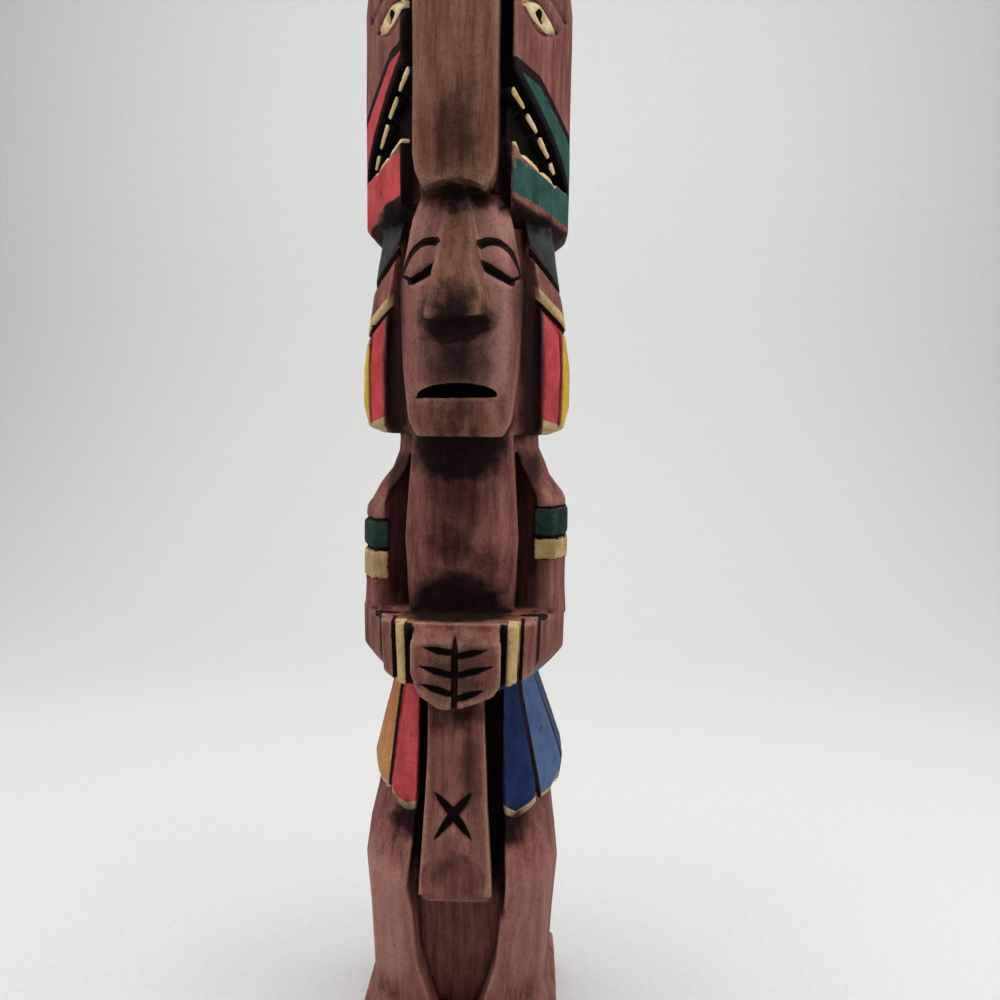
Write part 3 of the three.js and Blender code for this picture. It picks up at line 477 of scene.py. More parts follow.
# %% Skirt
full = np.where(x > 0, 1.075, 0.94)  # the right hip was left a little fuller
flat_reach = reach / (1 + (full - 1) * np.clip((139 - z) / 34, 0.2, 1))
seam = along(z, [(91, 25.6), (96, 25), (104, 24.1), (139, 18.9)])
front_low = np.where(
    x > 0,
    along(flat_reach, [(14.8, 96), (17.6, 93.5), (21.6, 94.6), (24.6, 97)]),
    along(flat_reach, [(13.8, 97.2), (17.6, 95.3), (21.6, 96), (24.6, 99.4)]))
flank_low = np.where(
    x > 0,
    along(y, [(-19, 97.2), (-13.5, 97), (-7.4, 102)]),
    along(y, [(-19, 100.3), (-13.5, 98.8), (-7.4, 101.5)]))
hip_low = along(y, [(-6.6, 99), (3, 92), (12.6, 99)])
rear_low = along(y, [(13.8, 98), (21.5, 92.5), (29.4, 98)])


def feather_area(edges, bottom, tip):
    """A feather above its pointed end, and the bare tip along that end."""
    inside = within(*edges, 141 - z, skirt_outer)
    return within(inside, z - bottom - tip), within(inside, z - bottom + 1.2, bottom + tip + 0.3 - z)


skirt_outer = within(
    z - 88, reach - np.where(x > 0, 13.9, 11.9), either(reach - 16, -20.6 - y), y + 31.2)
front, front_tip = feather_area([seam - 0.4 - flat_reach, -14 - y], front_low, 3)
flank, flank_tip = feather_area([flat_reach - seam - 0.4, -7.5 - y], flank_low, 1.9)
hip, hip_tip = feather_area([between(y, -6.5, 12.2), reach - 19], hip_low, 2.4)
rear, rear_tip = feather_area([y - 13.2, reach - 14], rear_low, 2.4)
skirt_tips = either(front_tip, flank_tip, hip_tip, rear_tip)
print("skirt feathers", round(float(front.max()), 2), round(float(flank.max()), 2))

# %% [markdown]
# ### One field for each colour
# Areas of one colour are joined into one field, because a paint pot doesn't care what it is
# used on. The animal's eyes, high up, get a cream almond and a black pupil.

# %% Colours
EYE_DROP = 36


def eye_areas(side):
    """Cream almond and round pupil on a slanting cheek."""
    t, proud, length = cheek(side)
    off = np.abs(z - HEIGHT + EYE_DROP)
    from_middle = np.abs(t - 0.4) * length
    on_cheek = within(proud + 2.6, beside_snout)
    return (within(3.0 - off - 0.022 * from_middle ** 2, 11.5 - from_middle, on_cheek),
            within(2.1 - np.hypot(off, from_middle), on_cheek))


(left_eye, left_pupil), (right_eye, right_pupil) = (eye_areas(side) for side in SIDES)
arch = 4 * np.power(np.clip(1 - ((x - MIDDLE) / 12.2) ** 2, 0, 1), 0.45)
lips = within(between(z, 228.7 + 0.02 * x, 229.3 + arch + 0.02 * x), 12.7 - np.abs(x - MIDDLE), -24 - y)
mouth_inside = within(lips, y + 28.9)
left, right_jaw = jaws[-1], jaws[1]
paints = {
    "paint_red": either(left["band"], left["upper"], red_ear, within(front, -x), within(hip, -x)),
    "paint_jaw_green": either(right_jaw["band"], right_jaw["upper"]),
    "paint_green": green_band,
    "paint_gold": either(gold_band, gold_plate, wrist),
    "paint_yellow": yellow_ear,
    "paint_orange": either(within(flank, -x), within(rear, -x)),
    "paint_deep_blue": either(within(front, x), within(hip, x)),
    "paint_light_blue": either(within(flank, x), within(rear, x)),
    "paint_grey": grey_plate,
    "paint_cream": either(left["teeth"], right_jaw["teeth"], left_eye, right_eye),
    "bare_tan": either(ear_tips, skirt_tips),
    "paint_black": either(left["gape"], right_jaw["gape"], mouth_inside, left_pupil, right_pupil),
}
for name, values in paints.items():
    keep_field(carving.data, name, np.clip(values, -FAR, FAR))
print("painted points", {name: int((v > 0).sum()) for name, v in paints.items()})

# %% [markdown]
# ## Blackened cuts
# The V cuts are already in the solid. After the paint dried, each was drawn over with thin
# black. A cut is a path with a width that swells along it, so its field is that width less the
# distance to the path.

# %% Cuts
def path_distance(stops, deep):
    """Distance of every point to a path of straight pieces, and the share of the way along it.

    A share, called deep, of the part of each distance that points into the wood is taken off,
    so the field reaches down to the floor of the cut.
    """
    stops = np.array(stops, dtype=float)
    ways = np.diff(stops, axis=0)
    lengths = np.linalg.norm(ways, axis=1)
    nearest, place = np.full(len(spot), 1e3), np.zeros(len(spot))
    for start, way, long, before in zip(stops, ways, lengths, np.cumsum(lengths) - lengths):
        share = np.clip((spot - start) @ way / long ** 2, 0, 1)
        middle = start + way / 2
        inward = np.array((middle[0], middle[1], 0)) / np.hypot(middle[0], middle[1])
        gap = spot - start - share[:, None] * way
        away = np.linalg.norm(gap - deep * (gap @ inward)[:, None] * inward, axis=1)
        place = np.where(away < nearest, (before + share * long) / lengths.sum(), place)
        nearest = np.minimum(away, nearest)
    return nearest, place


def cut(stops, half, swell=lambda t: 1, deep=0.75):
    """A cut's field: half its width, swelling along the path, less the distance to the path."""
    away, place = path_distance(stops, deep)
    return half * swell(place) - away


def mirrored(stops, side):
    """The same path on either side of the pole."""
    return [(side * px, py, pz) for px, py, pz in stops]


def finger(t):
    """A finger cut: pointed outside, widest half way in, a little narrower where it ends."""
    return np.minimum(1, 1.9 * t) * (1 - 0.3 * t)


def cross_stroke(t):
    """A stroke of the cross: pointed at both ends, widest where the strokes meet."""
    return np.power(np.maximum(np.sin(np.pi * t), 0), 0.75)


HAND_FRONT = -35.8
fingers = [(-10.6, 153.4, 151.4), (-12, 147.6, 144.4), (-11.6, 142, 138.4),
           (10, 153, 150.4), (12.2, 148, 144.4), (9.4, 140.4, 137)]
hand_cuts = [
    cut([(end, HAND_FRONT, outer), (math.copysign(0.6, end) - 0.4, HAND_FRONT, inner)], 1.45, finger)
    for end, outer, inner in fingers]
between_hands = [(-0.4, -34.8, 158.2), (-0.4, HAND_FRONT, 153), (-0.4, HAND_FRONT, 131)]
hand_cuts.append(cut(between_hands, 1.0, lambda t: np.minimum(1, 0.3 + 3 * t)))
cuts = [within(either(*hand_cuts), -33.4 - y)]
for side in SIDES:
    leaning = [(MIDDLE + side * 6, -31.5, 105.2), (MIDDLE - side * 6.2, -31.5, 88.8)]
    cuts.append(cut(leaning, 1.6, cross_stroke))
    brow = [(5.6, -28.2, 274), (7.6, -28.2, 274.9), (9.6, -28, 275), (11.6, -27.8, 274.7),
            (13.6, -27.4, 273.6), (15.3, -26.9, 272), (16.6, -26.4, 269.8), (17.7, -26, 267.5),
            (18.4, -25.6, 265)]
    cuts.append(cut(mirrored(brow, side), 1.45, lambda t: 1 - 0.6 * t))
    lid = [(6.4, -28.2, 268.2), (15.2, -26.8, 263.4)]
    cuts.append(cut(mirrored(lid, side), 1.65, lambda t: np.minimum(1, 0.8 + t) * (1 - 0.25 * t)))
    eye_corner = [(14.4, -27, 263.4), (18.6, -25.4, 265.4)]
    cuts.append(cut(mirrored(eye_corner, side), 0.8, lambda t: 1 - 0.5 * t))
    ear_seam = [(31.1, -9.8, 219), (31.9, -9.2, 237), (31, -9, 252)]
    cuts.append(cut(mirrored(ear_seam, side), 0.6))
    notches = (189.2, 179.5) if side < 0 else (194.2, 184.5)
    band_edge = 24.2 if side < 0 else 23.2
    cuts.extend(within(0.55 - np.abs(z - notch), side * x - band_edge, 26 - y) for notch in notches)
    crease = [(19, -21, 160.1), (24.5, -18.6, 160.2), (27.5, -17, 160), (30, -15.4, 159.7)]
    cuts.append(cut(mirrored(crease, side), 2.8, cross_stroke, 0.0))
beside_strip = within(
    between(np.abs(x + 0.3) + strip_shift, 13.7, 16.0), between(z, 138.8, 159.8), between(y, -35, -22))
behind_strip = within(between(reach + strip_shift, 19.7, 20.9), between(z, 136, 160.4), -24 - y)
behind_cuff = within(between(reach + strip_shift, 25.1, 26.2), between(z, 138, 160), -19 - y)
under_plates = within(
    either(0.9 - np.abs(z - short_edge + 0.8) * 0.75, 0.8 - np.abs(z - long_edge + 1.5) * 0.8),
    plate_inner, plate_back)
SEAM_HALF, SKIRT_TOP = 0.65, 139.5
front_seam = within(
    SEAM_HALF - np.abs(flat_reach - seam), z - flank_low + 0.6, SKIRT_TOP - z, -7 - y, skirt_outer)
side_seams = within(
    SEAM_HALF - np.minimum(np.abs(y + 7), np.abs(y - 12.7)), reach - 19.5, between(z, 95, SKIRT_TOP))
cut_field = either(
    *cuts, front_seam, side_seams, under_plates, beside_strip, behind_strip, behind_cuff,
    left["outline"], right_jaw["outline"])
keep_field(carving.data, "blackened", np.clip(cut_field, -FAR, FAR))
print("cuts", len(cuts), "blackened points", int((cut_field > 0).sum()))

# %% [markdown]
# ## Stain, painted shade, painted light and tone
# Three soft fields. Stain is the near-black wash in the hair, which is also painted shade there, with painted
# shade in the hollows beside the arms, at the inner ends of the jaws, in the slots and under the jaws. Warmth
# says where the wood was rubbed back to a browner, less red tone, on the snout, the nose, the chin, the hands
# and a little of the apron. Pale is painted light: lighter wood on the face and the thighs, strongest towards
# the brow. The sprayed black, which is painted shade too, comes later, in the finish.

# %% Soft fields
def step_up(values, start, end):
    """Nothing at start, one at end, smooth between."""
    share = np.clip((values - start) / (end - start), 0, 1)
    return share * share * (3 - 2 * share)


hair = within(reach - 17.0, 25.7 - reach, -9 - y, between(z, 216, 286), -bare_plate)
# Painted shade: the hollows beside the arms, the inner ends of the jaws, the faces under the jaws that turn
# downwards, and the slots between the legs.
hollow = within(reach - 16.4, 25.6 - reach, -4 - y, between(z, 160, 212), y + 16.6)
jaw_ends = within(
    17.2 - np.abs(x + 2.5), between(z, 283, 352), between(y, -35, -15), beside_snout + 0.6)
shade_under_jaw = either(
    within(between(z, 277, 289.5), 30 - y, reach - 13.6, (hanging - 0.25) * 6),
    within(between(z, 283.5, 290.5), between(reach, 15.5, 26.5), -x, -8 - y))
slots = within(
    between(reach, 8, np.where(x > 0, 15.0, 13.2) + 1.2 * np.clip((104 - z) / 34, 0, 1)),
    between(z, 60, 142), y + 28.6, -11 - y)
# The hair's near-black wash is stain and painted shade together; the other areas are painted shade.
stain_and_shade = either(
    0.96 * step_up(hair, -0.3, 1.6), 0.8 * step_up(hollow, -0.6, 1.8), step_up(jaw_ends, -0.3, 0.8),
    0.96 * step_up(shade_under_jaw, -0.6, 1.0), 0.96 * step_up(slots, -0.2, 0.7))
warm = either(
    step_up(within(13.4 - np.abs(x - SNOUT_X), z - 287, -22 - y), 0, 1.5),
    step_up(within(11.2 - np.abs(x - MIDDLE), between(z, 250.6, 290), -29.4 - y), -0.6, 0.8),
    0.25 * step_up(within(13 - reach, between(z, 70, 134), -28 - y), 0, 2),
    0.7 * step_up(within(15 - reach, between(z, 214, 228.5), -26 - y), 0, 3),
    0.3 * step_up(within(34 - reach, z - 131, 161.2 - z), 0, 2),
    0.9 * step_up(within(19 - reach, between(z, 158.8, 161.5)), 0, 0.6))
# Painted light: the face is lightened, more towards the brow and unevenly from side to side, and so are the
# thighs, one more than the other.
painted_light = step_up(within(17 - np.abs(x - MIDDLE), between(z, 228, 288), -22 - y), 0, 3)
thigh_light = step_up(within(80 - z, z - 30, -6 - y, reach - 14), 0, 6)
painted_light = np.maximum(painted_light, thigh_light * np.where(x > 0, 0.4, 1.6))
painted_light *= (1 - warm) * np.interp(x, [-14, 0, 14], [1.0, 0.8, 2.1])
painted_light *= np.interp(z, [250, 268, 280], [1, 1.3, 1.8])
for name, values in (("stain_and_shade", stain_and_shade), ("warm", warm), ("painted_light", painted_light)):
    keep_field(carving.data, name, values)
print("soft fields", [round(float(values.mean()), 3) for values in (stain_and_shade, warm, painted_light)])

# %% [markdown]
# ### Worn spots
# A few knocks have taken the paint off in dots and short flakes. Each is a small slanted egg.

# %% Knocks
KNOCKS = [
    ((-28, -9, 294), (0.8, 2, 1.5)), ((-15.2, -25, 120.6), (0.5, 2, 0.8)),
    ((27, -14, 119.6), (0.7, 2, 0.9)), ((26, -13, 288.2), (1.2, 2, 0.6)),
    ((-19, -22, 112), (0.3, 2, 0.5)), ((20.4, -23, 126), (0.35, 2, 0.5)),
    ((-30, -4, 236), (0.5, 2, 0.9)), ((30.4, 2, 182), (2, 0.9, 0.5)), ((-31, 2, 110), (2, 0.6, 0.9)),
]


def egg(place, size):
    """Millimetres inside an egg-shaped spot, by its smallest size."""
    away = np.sqrt((((spot - place) / size) ** 2).sum(axis=1))
    return (1 - away) * min(size)


knocks = either(*[egg(*row) for row in KNOCKS])
keep_field(carving.data, "knocks", np.clip(knocks, -FAR, FAR))
print("knocks", len(KNOCKS), "points inside", int((knocks > 0).sum()))

# %% [markdown]
# ## Thinning the skin
# The flats hold hundreds of thousands of squares that say nothing. Collapsing short edges where
# the surface is nearly flat brings the count down to what one piece should have. Points close to
# the edge of a colour or a cut, and a sprinkle of others, are left for last. So those edges stay
# fine, soft shading stays soft, and every field rides along. Collapsing can leave a few triangles
# that share all their corners, so the mesh is checked and those are taken out.

# %% Thin it
edge_distance = within(*(np.abs(values) for values in (*paints.values(), cut_field, knocks)))
spare = carving.vertex_groups.new(name="spare")
SPRINKLED_SHARE = 0.02
sprinkled = np.random.default_rng(7).random(len(spot)) < SPRINKLED_SHARE
spare.add(np.flatnonzero((edge_distance > NEAR_EDGE) & ~sprinkled).tolist(), 1.0, "REPLACE")
ratio = min(1.0, FACES / (2 * len(carving.data.polygons)))
carving.data = changed(carving, "DECIMATE", ratio=ratio, vertex_group="spare")
mended = carving.data.validate()
carving.vertex_groups.clear()
carving.data.polygons.foreach_set("use_smooth", [True] * len(carving.data.polygons))
print("faces", len(carving.data.polygons), "broken ones taken out", mended)
print("points kept fine", int((edge_distance <= NEAR_EDGE).sum()), "of", len(spot))

# %% [markdown]
# ## Wiring up a material
# A few short helpers keep the materials readable: one makes a node and feeds it, the others
# are sums, blends and smooth steps. Colours are written the way a screen shows them and turned
# into light amounts here.

# %% Node helpers
def tint(code):
    """A screen colour such as 'b03a40' as amounts of light."""
    parts = np.array([int(code[i:i + 2], 16) / 255 for i in (0, 2, 4)])
    light = np.where(parts <= 0.04045, parts / 12.92, ((parts + 0.055) / 1.055) ** 2.4)
    return (*light.tolist(), 1.0)


def node(tree, kind, feeds=None, **settings):
    """One node with its settings; feeds gives each input a value or another node's output."""
    made = tree.nodes.new("ShaderNode" + kind)
    for name, value in settings.items():
        setattr(made, name, value)
    for key, value in (feeds or {}).items():
        if isinstance(value, bpy.types.NodeSocket):
            tree.links.new(value, made.inputs[key])
        else:
            made.inputs[key].default_value = value
    return made


def sum_of(tree, kind, a, b=0.0, c=0.0, clamp=False):
    """One sum on up to three numbers or outputs, named as the maths node names it."""
    return node(tree, "Math", {0: a, 1: b, 2: c}, operation=kind, use_clamp=clamp).outputs[0]


def blend(tree, share, a, b):
    """The first colour at a share of nothing, the second at one, evenly mixed between."""
    return node(tree, "Mix", {0: share, 6: a, 7: b}, data_type="RGBA").outputs[2]


def smooth_step(tree, value, start, end):
    """Nothing at start, one at end, smooth between; start may be the larger."""
    feeds = {"Value": value, "From Min": start, "From Max": end}
    return node(tree, "MapRange", feeds, interpolation_type="SMOOTHSTEP").outputs[0]


def millimetres(tree, stretch=(1, 1, 1)):
    """Places on the piece in millimetres, each direction stretched by its own amount."""
    place = node(tree, "TexCoord").outputs["Object"]
    scale = tuple(s / MM for s in stretch)
    return node(tree, "Mapping", {"Vector": place, "Scale": scale}).outputs[0]


def noise(tree, vector, scale, detail=2.0, rough=0.5):
    """Cloudy noise from 0 to 1 at a place, finer with a larger scale."""
    feeds = {"Vector": vector, "Scale": scale, "Detail": detail, "Roughness": rough}
    return node(tree, "TexNoise", feeds).outputs[0]


def new_group(name, inputs, outputs):
    """An empty node group with named number inputs and outputs."""
    tree = bpy.data.node_groups.new(name, "ShaderNodeTree")
    for label, value in inputs.items():
        socket = tree.interface.new_socket(label, in_out="INPUT", socket_type="NodeSocketFloat")
        socket.default_value = value
    for label in outputs:
        tree.interface.new_socket(label, in_out="OUTPUT", socket_type="NodeSocketFloat")
    return tree, tree.nodes.new("NodeGroupInput").outputs, tree.nodes.new("NodeGroupOutput").inputs


def use_group(tree, group, feeds=None):
    """One use of an effect, fed like a node; gives its outputs."""
    made = tree.nodes.new("ShaderNodeGroup")
    made.node_tree = group
    for key, value in (feeds or {}).items():
        if isinstance(value, bpy.types.NodeSocket):
            tree.links.new(value, made.inputs[key])
        else:
            made.inputs[key].default_value = value
    return made.outputs


print("red as light", [round(v, 3) for v in tint("b03a40")])

# %% [markdown]
# ## Effects as groups
# A brush edge wobbles, skips and leaves a thin bare rim where the wood was rubbed: the brushed edge group
# does that to any distance. Grain is noise drawn out along the pole, and the speckles are what an airbrush or
# a nearly dry brush leaves; they also break up the painted shade and the painted edge highlights.

# %% Brushed edge
brushed, feed, result = new_group(
    "brushed edge", {"Distance": 0.0, "Wobble": 0.3, "Rim": 0.0}, ["Paint", "Bare rim", "Thickness"])
place = millimetres(brushed)
coarse = sum_of(brushed, "SUBTRACT", noise(brushed, place, 0.45, 2.0), 0.5)
fine = sum_of(brushed, "SUBTRACT", noise(brushed, place, 2.2, 3.0, 0.6), 0.5)
wobble = sum_of(brushed, "MULTIPLY_ADD", coarse, 2.4, sum_of(brushed, "MULTIPLY", fine, 1.2))
edge = sum_of(brushed, "MULTIPLY_ADD", wobble, feed["Wobble"], feed["Distance"])
paint = smooth_step(brushed, edge, -0.07, 0.09)
patchy = smooth_step(brushed, noise(brushed, place, 0.7, 3.0, 0.6), 0.45, 0.62)
rim_width = sum_of(brushed, "MULTIPLY", patchy, feed["Rim"])
wide = smooth_step(brushed, sum_of(brushed, "SUBTRACT", edge, rim_width), -0.08, 0.1)
brushed.links.new(paint, result["Paint"])
brushed.links.new(sum_of(brushed, "SUBTRACT", paint, wide, clamp=True), result["Bare rim"])
brushed.links.new(smooth_step(brushed, edge, -0.12, 0.3), result["Thickness"])
print("group", brushed.name, len(brushed.nodes), "nodes")

# %% Wood grain
grain, feed, result = new_group("wood grain", {"Contrast": 1.0}, ["Streaks", "Fibres", "Clouds"])
broad = noise(grain, millimetres(grain, (0.35, 0.35, 0.04)), 1.0, 4.0, 0.6)
thin = noise(grain, millimetres(grain, (2.4, 2.4, 0.14)), 1.0, 3.0, 0.6)
hair_thin = noise(grain, millimetres(grain, (7.0, 7.0, 0.6)), 1.0, 2.0, 0.5)
mottle = noise(grain, millimetres(grain, (0.16, 0.16, 0.1)), 1.0, 5.0, 0.62)
streaks = sum_of(grain, "MULTIPLY_ADD", broad, 0.55, sum_of(grain, "MULTIPLY", thin, 0.25))
streaks = sum_of(grain, "MULTIPLY_ADD", mottle, 0.2, streaks)
centred = sum_of(grain, "SUBTRACT", streaks, 0.5)
streaks = sum_of(grain, "MULTIPLY_ADD", centred, feed["Contrast"], 0.5, clamp=True)
grain.links.new(streaks, result["Streaks"])
fibre_mix = sum_of(grain, "MULTIPLY_ADD", thin, 0.5, sum_of(grain, "MULTIPLY", hair_thin, 0.5))
grain.links.new(fibre_mix, result["Fibres"])
grain.links.new(mottle, result["Clouds"])
print("group", grain.name, len(grain.nodes), "nodes")

# %% Dust
speckles, feed, result = new_group("speckles", {"Amount": 0.5, "Fineness": 3.0, "Softness": 0.1}, ["Dots"])
dots = noise(speckles, millimetres(speckles), feed["Fineness"], 2.0, 0.7)
threshold = sum_of(speckles, "SUBTRACT", 0.75, sum_of(speckles, "MULTIPLY", feed["Amount"], 0.5))
soft_top = sum_of(speckles, "ADD", threshold, feed["Softness"])
low_end = sum_of(speckles, "SUBTRACT", threshold, feed["Softness"])
speckles.links.new(smooth_step(speckles, dots, low_end, soft_top), result["Dots"])
print("group", speckles.name, len(speckles.nodes), "nodes")

# %% [markdown]
# Black is sprayed in clouds: on and under the nose, the snout and the chin, above the forearms, under the
# jaws and the skirt. The same clouds are painted shade, darkest where these parts overhang and shade one
# another. Each is an egg with a place, a size and a strength, strongest in the middle and gone at its edge,
# and where several meet the strongest counts. A strength over one keeps the middle fully black. The air
# drifts, so slow noise bends them all.

# %% Sprayed black and painted shade
# Each cloud is sprayed black and painted shade at once: under the nose, snout, chin, jaws and feather tips,
# and above the forearms.
CLOUDS = [
    ((MIDDLE, -31, 251), (18, 13, 12.5), 2.1), ((MIDDLE, -30, 240), (20, 11, 23), 0.95),
    ((MIDDLE, -37, 253), (13, 8, 18), 1.1), ((MIDDLE, -30, 222), (17, 8, 11), 0.35),
    ((-1.5, -33, 286.4), (15, 15, 7.5), 1.25), ((-1.5, -37, 303), (14, 7, 26), 0.8),
    ((0, -27, 288.6), (24, 10, 6), 1.25), ((MIDDLE, -20, 219), (25, 14, 26), 2.5),
    ((MIDDLE, -22, 198), (20, 11, 24), 0.8), ((MIDDLE, -20, 152), (27, 16, 32), 2.7),
    ((-3, -23, 184), (15, 10, 17), 0.9), ((7, -23, 176), (12, 10, 15), 0.7),
    ((0, -30, 132), (17, 9, 13), 1.2),
    ((MIDDLE, -26, 80), (16, 12, 15), 0.45), ((4.5, -31, 114), (8, 8, 32), 0.65),
    ((0, -36, 146), (18, 8, 20), 0.8), ((-30, -12, 176), (9, 12, 15), 0.45),
    ((30, -12, 182), (9, 12, 15), 0.45), ((26, -14, 284), (15, 15, 6), 1.1),
    ((-24, -15, 286), (16, 16, 6), 1.4), ((-18, -24, 92), (14, 12, 12), 1.4),
    ((18, -24, 91), (15, 12, 12), 1.4), ((-13, -20, 76), (6, 12, 30), 0.9),
    ((13, -20, 76), (6, 12, 30), 0.9), ((-30, -8, 150), (8, 12, 12), 0.4),
    ((30, -8, 150), (8, 12, 12), 0.4),
]
DRIFT = 9.0  # how far the noise bends a cloud, from side to side, in mm
spray_and_shade, _, result = new_group("spray_and_shade", {}, ["Amount"])
drift = node(spray_and_shade, "TexNoise", {"Vector": millimetres(spray_and_shade), "Scale": 0.2, "Detail": 4.0}).outputs["Color"]
drift = node(spray_and_shade, "VectorMath", {0: drift, 1: (0.5, 0.5, 0.5)}, operation="SUBTRACT").outputs[0]
drift = node(spray_and_shade, "VectorMath", {0: drift, "Scale": DRIFT}, operation="SCALE").outputs[0]
place = node(spray_and_shade, "VectorMath", {0: millimetres(spray_and_shade), 1: drift}, operation="ADD").outputs[0]
strongest = 0.0
for centre, size, strength in CLOUDS:
    gap = node(spray_and_shade, "VectorMath", {0: place, 1: centre}, operation="SUBTRACT").outputs[0]
    share = node(spray_and_shade, "VectorMath", {0: gap, 1: size}, operation="DIVIDE").outputs[0]
    away = node(spray_and_shade, "VectorMath", {0: share}, operation="LENGTH").outputs["Value"]
    feeds = {"Value": away, "From Min": 1.0, "From Max": 0.0, "To Max": strength}
    egg_of_shade = node(spray_and_shade, "MapRange", feeds, interpolation_type="SMOOTHSTEP").outputs[0]
    strongest = sum_of(spray_and_shade, "MAXIMUM", strongest, egg_of_shade)
spray_and_shade.links.new(sum_of(spray_and_shade, "MINIMUM", strongest, 1.0), result["Amount"])
print("group", spray_and_shade.name, len(CLOUDS), "clouds")

# %% [markdown]
# ## The finish
# The order follows the workshop. First the stained wood: streaks of red-brown, browner where it is warm,
# lighter on the face and thighs as painted light, near black where stain gathered and as painted shade in
# recesses and under the jaws, lighter where edges were rubbed, which is a painted highlight as well. Then
# every paint with its own edge, and on the green jaw a bare rim. Then grime, wear with its painted highlight,
# knocks, and sprayed black that is also painted shade over both, and last the black drawn into every cut.

# %% Read the fields
finish = bpy.data.materials.new("stained_painted_wood")
finish.use_nodes = True
tree = finish.node_tree
tree.nodes.clear()


def field(name):
    """A number kept on the skin's points, read by name."""
    return node(tree, "Attribute", attribute_name=name).outputs["Fac"]


def times(a, b):
    """Two numbers multiplied, in the wood's own material."""
    return sum_of(tree, "MULTIPLY", a, b)


grains = use_group(tree, grain, {"Contrast": 1.25})
groove_dark = smooth_step(tree, field("groove"), 0.06, 0.3)
# Painted shade with stain: whole recesses, found by the long blur, are darkened towards near black.
recess_stain_and_shade = smooth_step(tree, field("recess"), 0.1, 1.7)
# Painted highlight as well as wear: edges that stand proud of the blurred skin are lightened, as if rubbed
# and catching the light.
wear_and_highlight = smooth_step(tree, times(field("recess"), -1.0), 0.1, 1.1)
print("fields are wired")

# %% Stained wood
red_wood = blend(tree, smooth_step(tree, grains["Streaks"], 0.3, 0.75), tint("633633"), tint("9c675d"))
brown_wood = blend(tree, smooth_step(tree, grains["Streaks"], 0.3, 0.75), tint("623e2d"), tint("976d56"))
wood = blend(tree, times(field("warm"), 0.8), red_wood, brown_wood)
# Painted light: the face and the thighs are blended towards a light pinkish wood.
wood = blend(tree, times(field("painted_light"), 0.32), wood, tint("bb887c"))
grit = use_group(tree, speckles, {"Amount": 0.42, "Fineness": 4.2, "Softness": 0.2})["Dots"]
wood = blend(tree, times(grit, 0.33), wood, tint("2c1613"))
dry_brush = use_group(tree, speckles, {"Amount": 0.5, "Fineness": 1.3, "Softness": 0.2})["Dots"]
# Rubbed edges of the stained wood turn lighter: wear and a painted highlight together.
rubbed_and_highlit = times(wear_and_highlight, sum_of(tree, "MULTIPLY_ADD", dry_brush, 0.45, 0.3))
wood = blend(tree, rubbed_and_highlit, wood, tint("b68a79"))
wood = blend(tree, times(smooth_step(tree, grains["Fibres"], 0.58, 0.74), 0.22), wood, tint("ad8073"))
# The deep colour serves both stain and painted shade: the recesses and the stain field are blended towards
# it.
deep = blend(tree, smooth_step(tree, grains["Streaks"], 0.4, 0.85), tint("0f0404"), tint("361315"))
wood = blend(tree, times(recess_stain_and_shade, 0.8), wood, deep)
# Near black from the stain field: stain in the hair and painted shade in the hollows, jaw ends, slots and
# under the jaws.
wood = blend(tree, field("stain_and_shade"), wood, deep)
print("wood is wired")

# %% Paint pots
POTS = [
    ("bare_tan", "bd9f78", "a58860", 0.22, 0.0),
    ("paint_red", "bd494c", "9f383b", 0.16, 0.0),
    ("paint_jaw_green", "2f544e", "213e38", 0.16, 0.35),
    ("paint_green", "0b322c", "08231f", 0.08, 0.0),
    ("paint_gold", "c4a678", "a5865a", 0.12, 0.0),
    ("paint_yellow", "ccae42", "ad8a2c", 0.14, 0.0),
    ("paint_orange", "b4834b", "9b633c", 0.16, 0.0),
    ("paint_deep_blue", "172d58", "101d40", 0.14, 0.0),
    ("paint_light_blue", "4a6187", "405174", 0.16, 0.0),
    ("paint_grey", "3d403d", "2e302d", 0.12, 0.0),
    ("paint_cream", "d9c29c", "bd9d62", 0.12, 0.0),
    ("paint_black", "0a0606", "060404", 0.1, 0.0),
]
colour, covered, ridge = wood, 0.0, 0.0
for name, light, dark, wobble_amount, rim_amount in POTS:
    edge = use_group(tree, brushed, {"Distance": field(name), "Wobble": wobble_amount, "Rim": rim_amount})
    coat = blend(tree, smooth_step(tree, grains["Clouds"], 0.35, 0.68), tint(light), tint(dark))
    colour = blend(tree, edge["Paint"], colour, coat)
    if rim_amount:
        colour = blend(tree, times(edge["Bare rim"], 0.85), colour, tint("8e6550"))
    covered = sum_of(tree, "MAXIMUM", covered, edge["Paint"])
    ridge = sum_of(tree, "MAXIMUM", ridge, edge["Thickness"])
print("pots", len(POTS))

# %% Sprayed black and painted shade, cuts, wear and painted highlight
grime = use_group(tree, speckles, {"Amount": 0.3, "Fineness": 0.9, "Softness": 0.12})["Dots"]
colour = blend(tree, times(grime, 0.3), colour, tint("2a1715"))
# Painted edges get the same light rub: wear and a painted highlight.
rubbed_and_highlit_paint = times(times(wear_and_highlight, covered), times(dry_brush, 0.12))
colour = blend(tree, rubbed_and_highlit_paint, colour, tint("b99a80"))
bare_spots = use_group(tree, brushed, {"Distance": field("knocks"), "Wobble": 0.12, "Rim": 0.0})["Paint"]
colour = blend(tree, times(bare_spots, 0.8), colour, tint("4c3b33"))
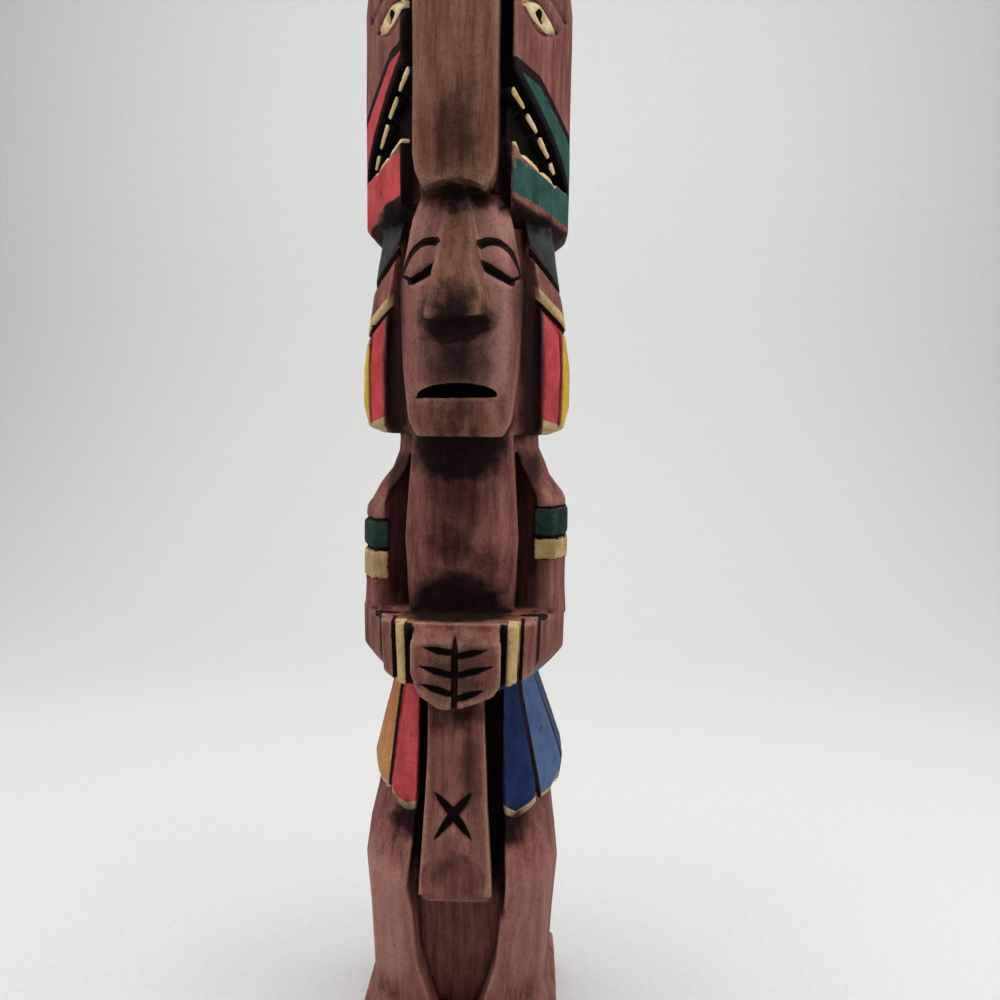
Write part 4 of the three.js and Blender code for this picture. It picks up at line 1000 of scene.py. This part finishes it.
# Painted shade: the clouds darken the colour towards near black, in sprayed dots that merge into solid black
# where the clouds are strong.
spray_and_shade_amount = use_group(tree, spray_and_shade)["Amount"]
sprayed_shade_dots = use_group(tree, speckles, {"Amount": spray_and_shade_amount, "Fineness": 5.0, "Softness": 0.4})["Dots"]
spray_and_shade_cover = times(sprayed_shade_dots, smooth_step(tree, spray_and_shade_amount, 0.0, 0.6))
spray_and_shade_cover = sum_of(tree, "MAXIMUM", spray_and_shade_cover, smooth_step(tree, spray_and_shade_amount, 0.15, 1.15))
colour = blend(tree, times(spray_and_shade_cover, 0.98), colour, tint("040202"))
colour = blend(tree, times(groove_dark, 0.85), colour, tint("120809"))
black_line = use_group(tree, brushed, {"Distance": field("blackened"), "Wobble": 0.14, "Rim": 0.0})["Paint"]
colour = blend(tree, times(black_line, 0.96), colour, tint("0b0506"))
print("layers are wired")

# %% [markdown]
# ## Gloss and fine relief
# Stained wood is satin, paint a little smoother, the sprayed black with its painted shade and bare wood dull.
# Two bumps follow: fibres, which paint half fills, and the step at the edge of each coat.

# %% Shader
smoothness = sum_of(tree, "MULTIPLY_ADD", covered, -0.08, 0.55)
roughness = sum_of(tree, "MULTIPLY_ADD", grains["Fibres"], 0.16, smoothness)
roughness = sum_of(tree, "MULTIPLY_ADD", spray_and_shade_cover, 0.12, roughness, clamp=True)
fibre_height = times(grains["Fibres"], sum_of(tree, "MULTIPLY_ADD", covered, -0.65, 1.0))
fibres = node(tree, "Bump", {"Height": fibre_height, "Strength": 0.4, "Distance": 0.00025})
tooth = noise(tree, millimetres(tree), 2.6, 3.0, 0.65)
coats = node(tree, "Bump", {
    "Height": sum_of(tree, "MULTIPLY_ADD", tooth, 0.3, ridge), "Strength": 0.6, "Distance": 0.00016,
    "Normal": fibres.outputs[0]})
shader = node(tree, "BsdfPrincipled", {
    "Base Color": colour, "Roughness": roughness, "Normal": coats.outputs[0], "Specular IOR Level": 0.06})
tree.links.new(shader.outputs[0], node(tree, "OutputMaterial").inputs[0])
carving.data.materials.clear()
carving.data.materials.append(finish)
print("finish", len(tree.nodes), "nodes")

# %% [markdown]
# ## The paper's finish
# Plain matt paper with the faintest mottling.

# %% Paper finish
paper_finish = bpy.data.materials.new("pale_paper")
paper_finish.use_nodes = True
tree = paper_finish.node_tree
tree.nodes.clear()
tooth = noise(tree, millimetres(tree), 0.4, 2.0)
shade = blend(tree, smooth_step(tree, tooth, 0.3, 0.7), tint("cfcfce"), tint("d3d3d2"))
shader = node(tree, "BsdfPrincipled", {"Base Color": shade, "Roughness": 0.8, "Specular IOR Level": 0.2})
tree.links.new(shader.outputs[0], node(tree, "OutputMaterial").inputs[0])
floor.data.materials.append(paper_finish)
print("paper finish made")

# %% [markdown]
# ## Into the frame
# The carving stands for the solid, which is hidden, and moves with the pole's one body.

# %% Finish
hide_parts("totem_pole")
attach(carving, "root")
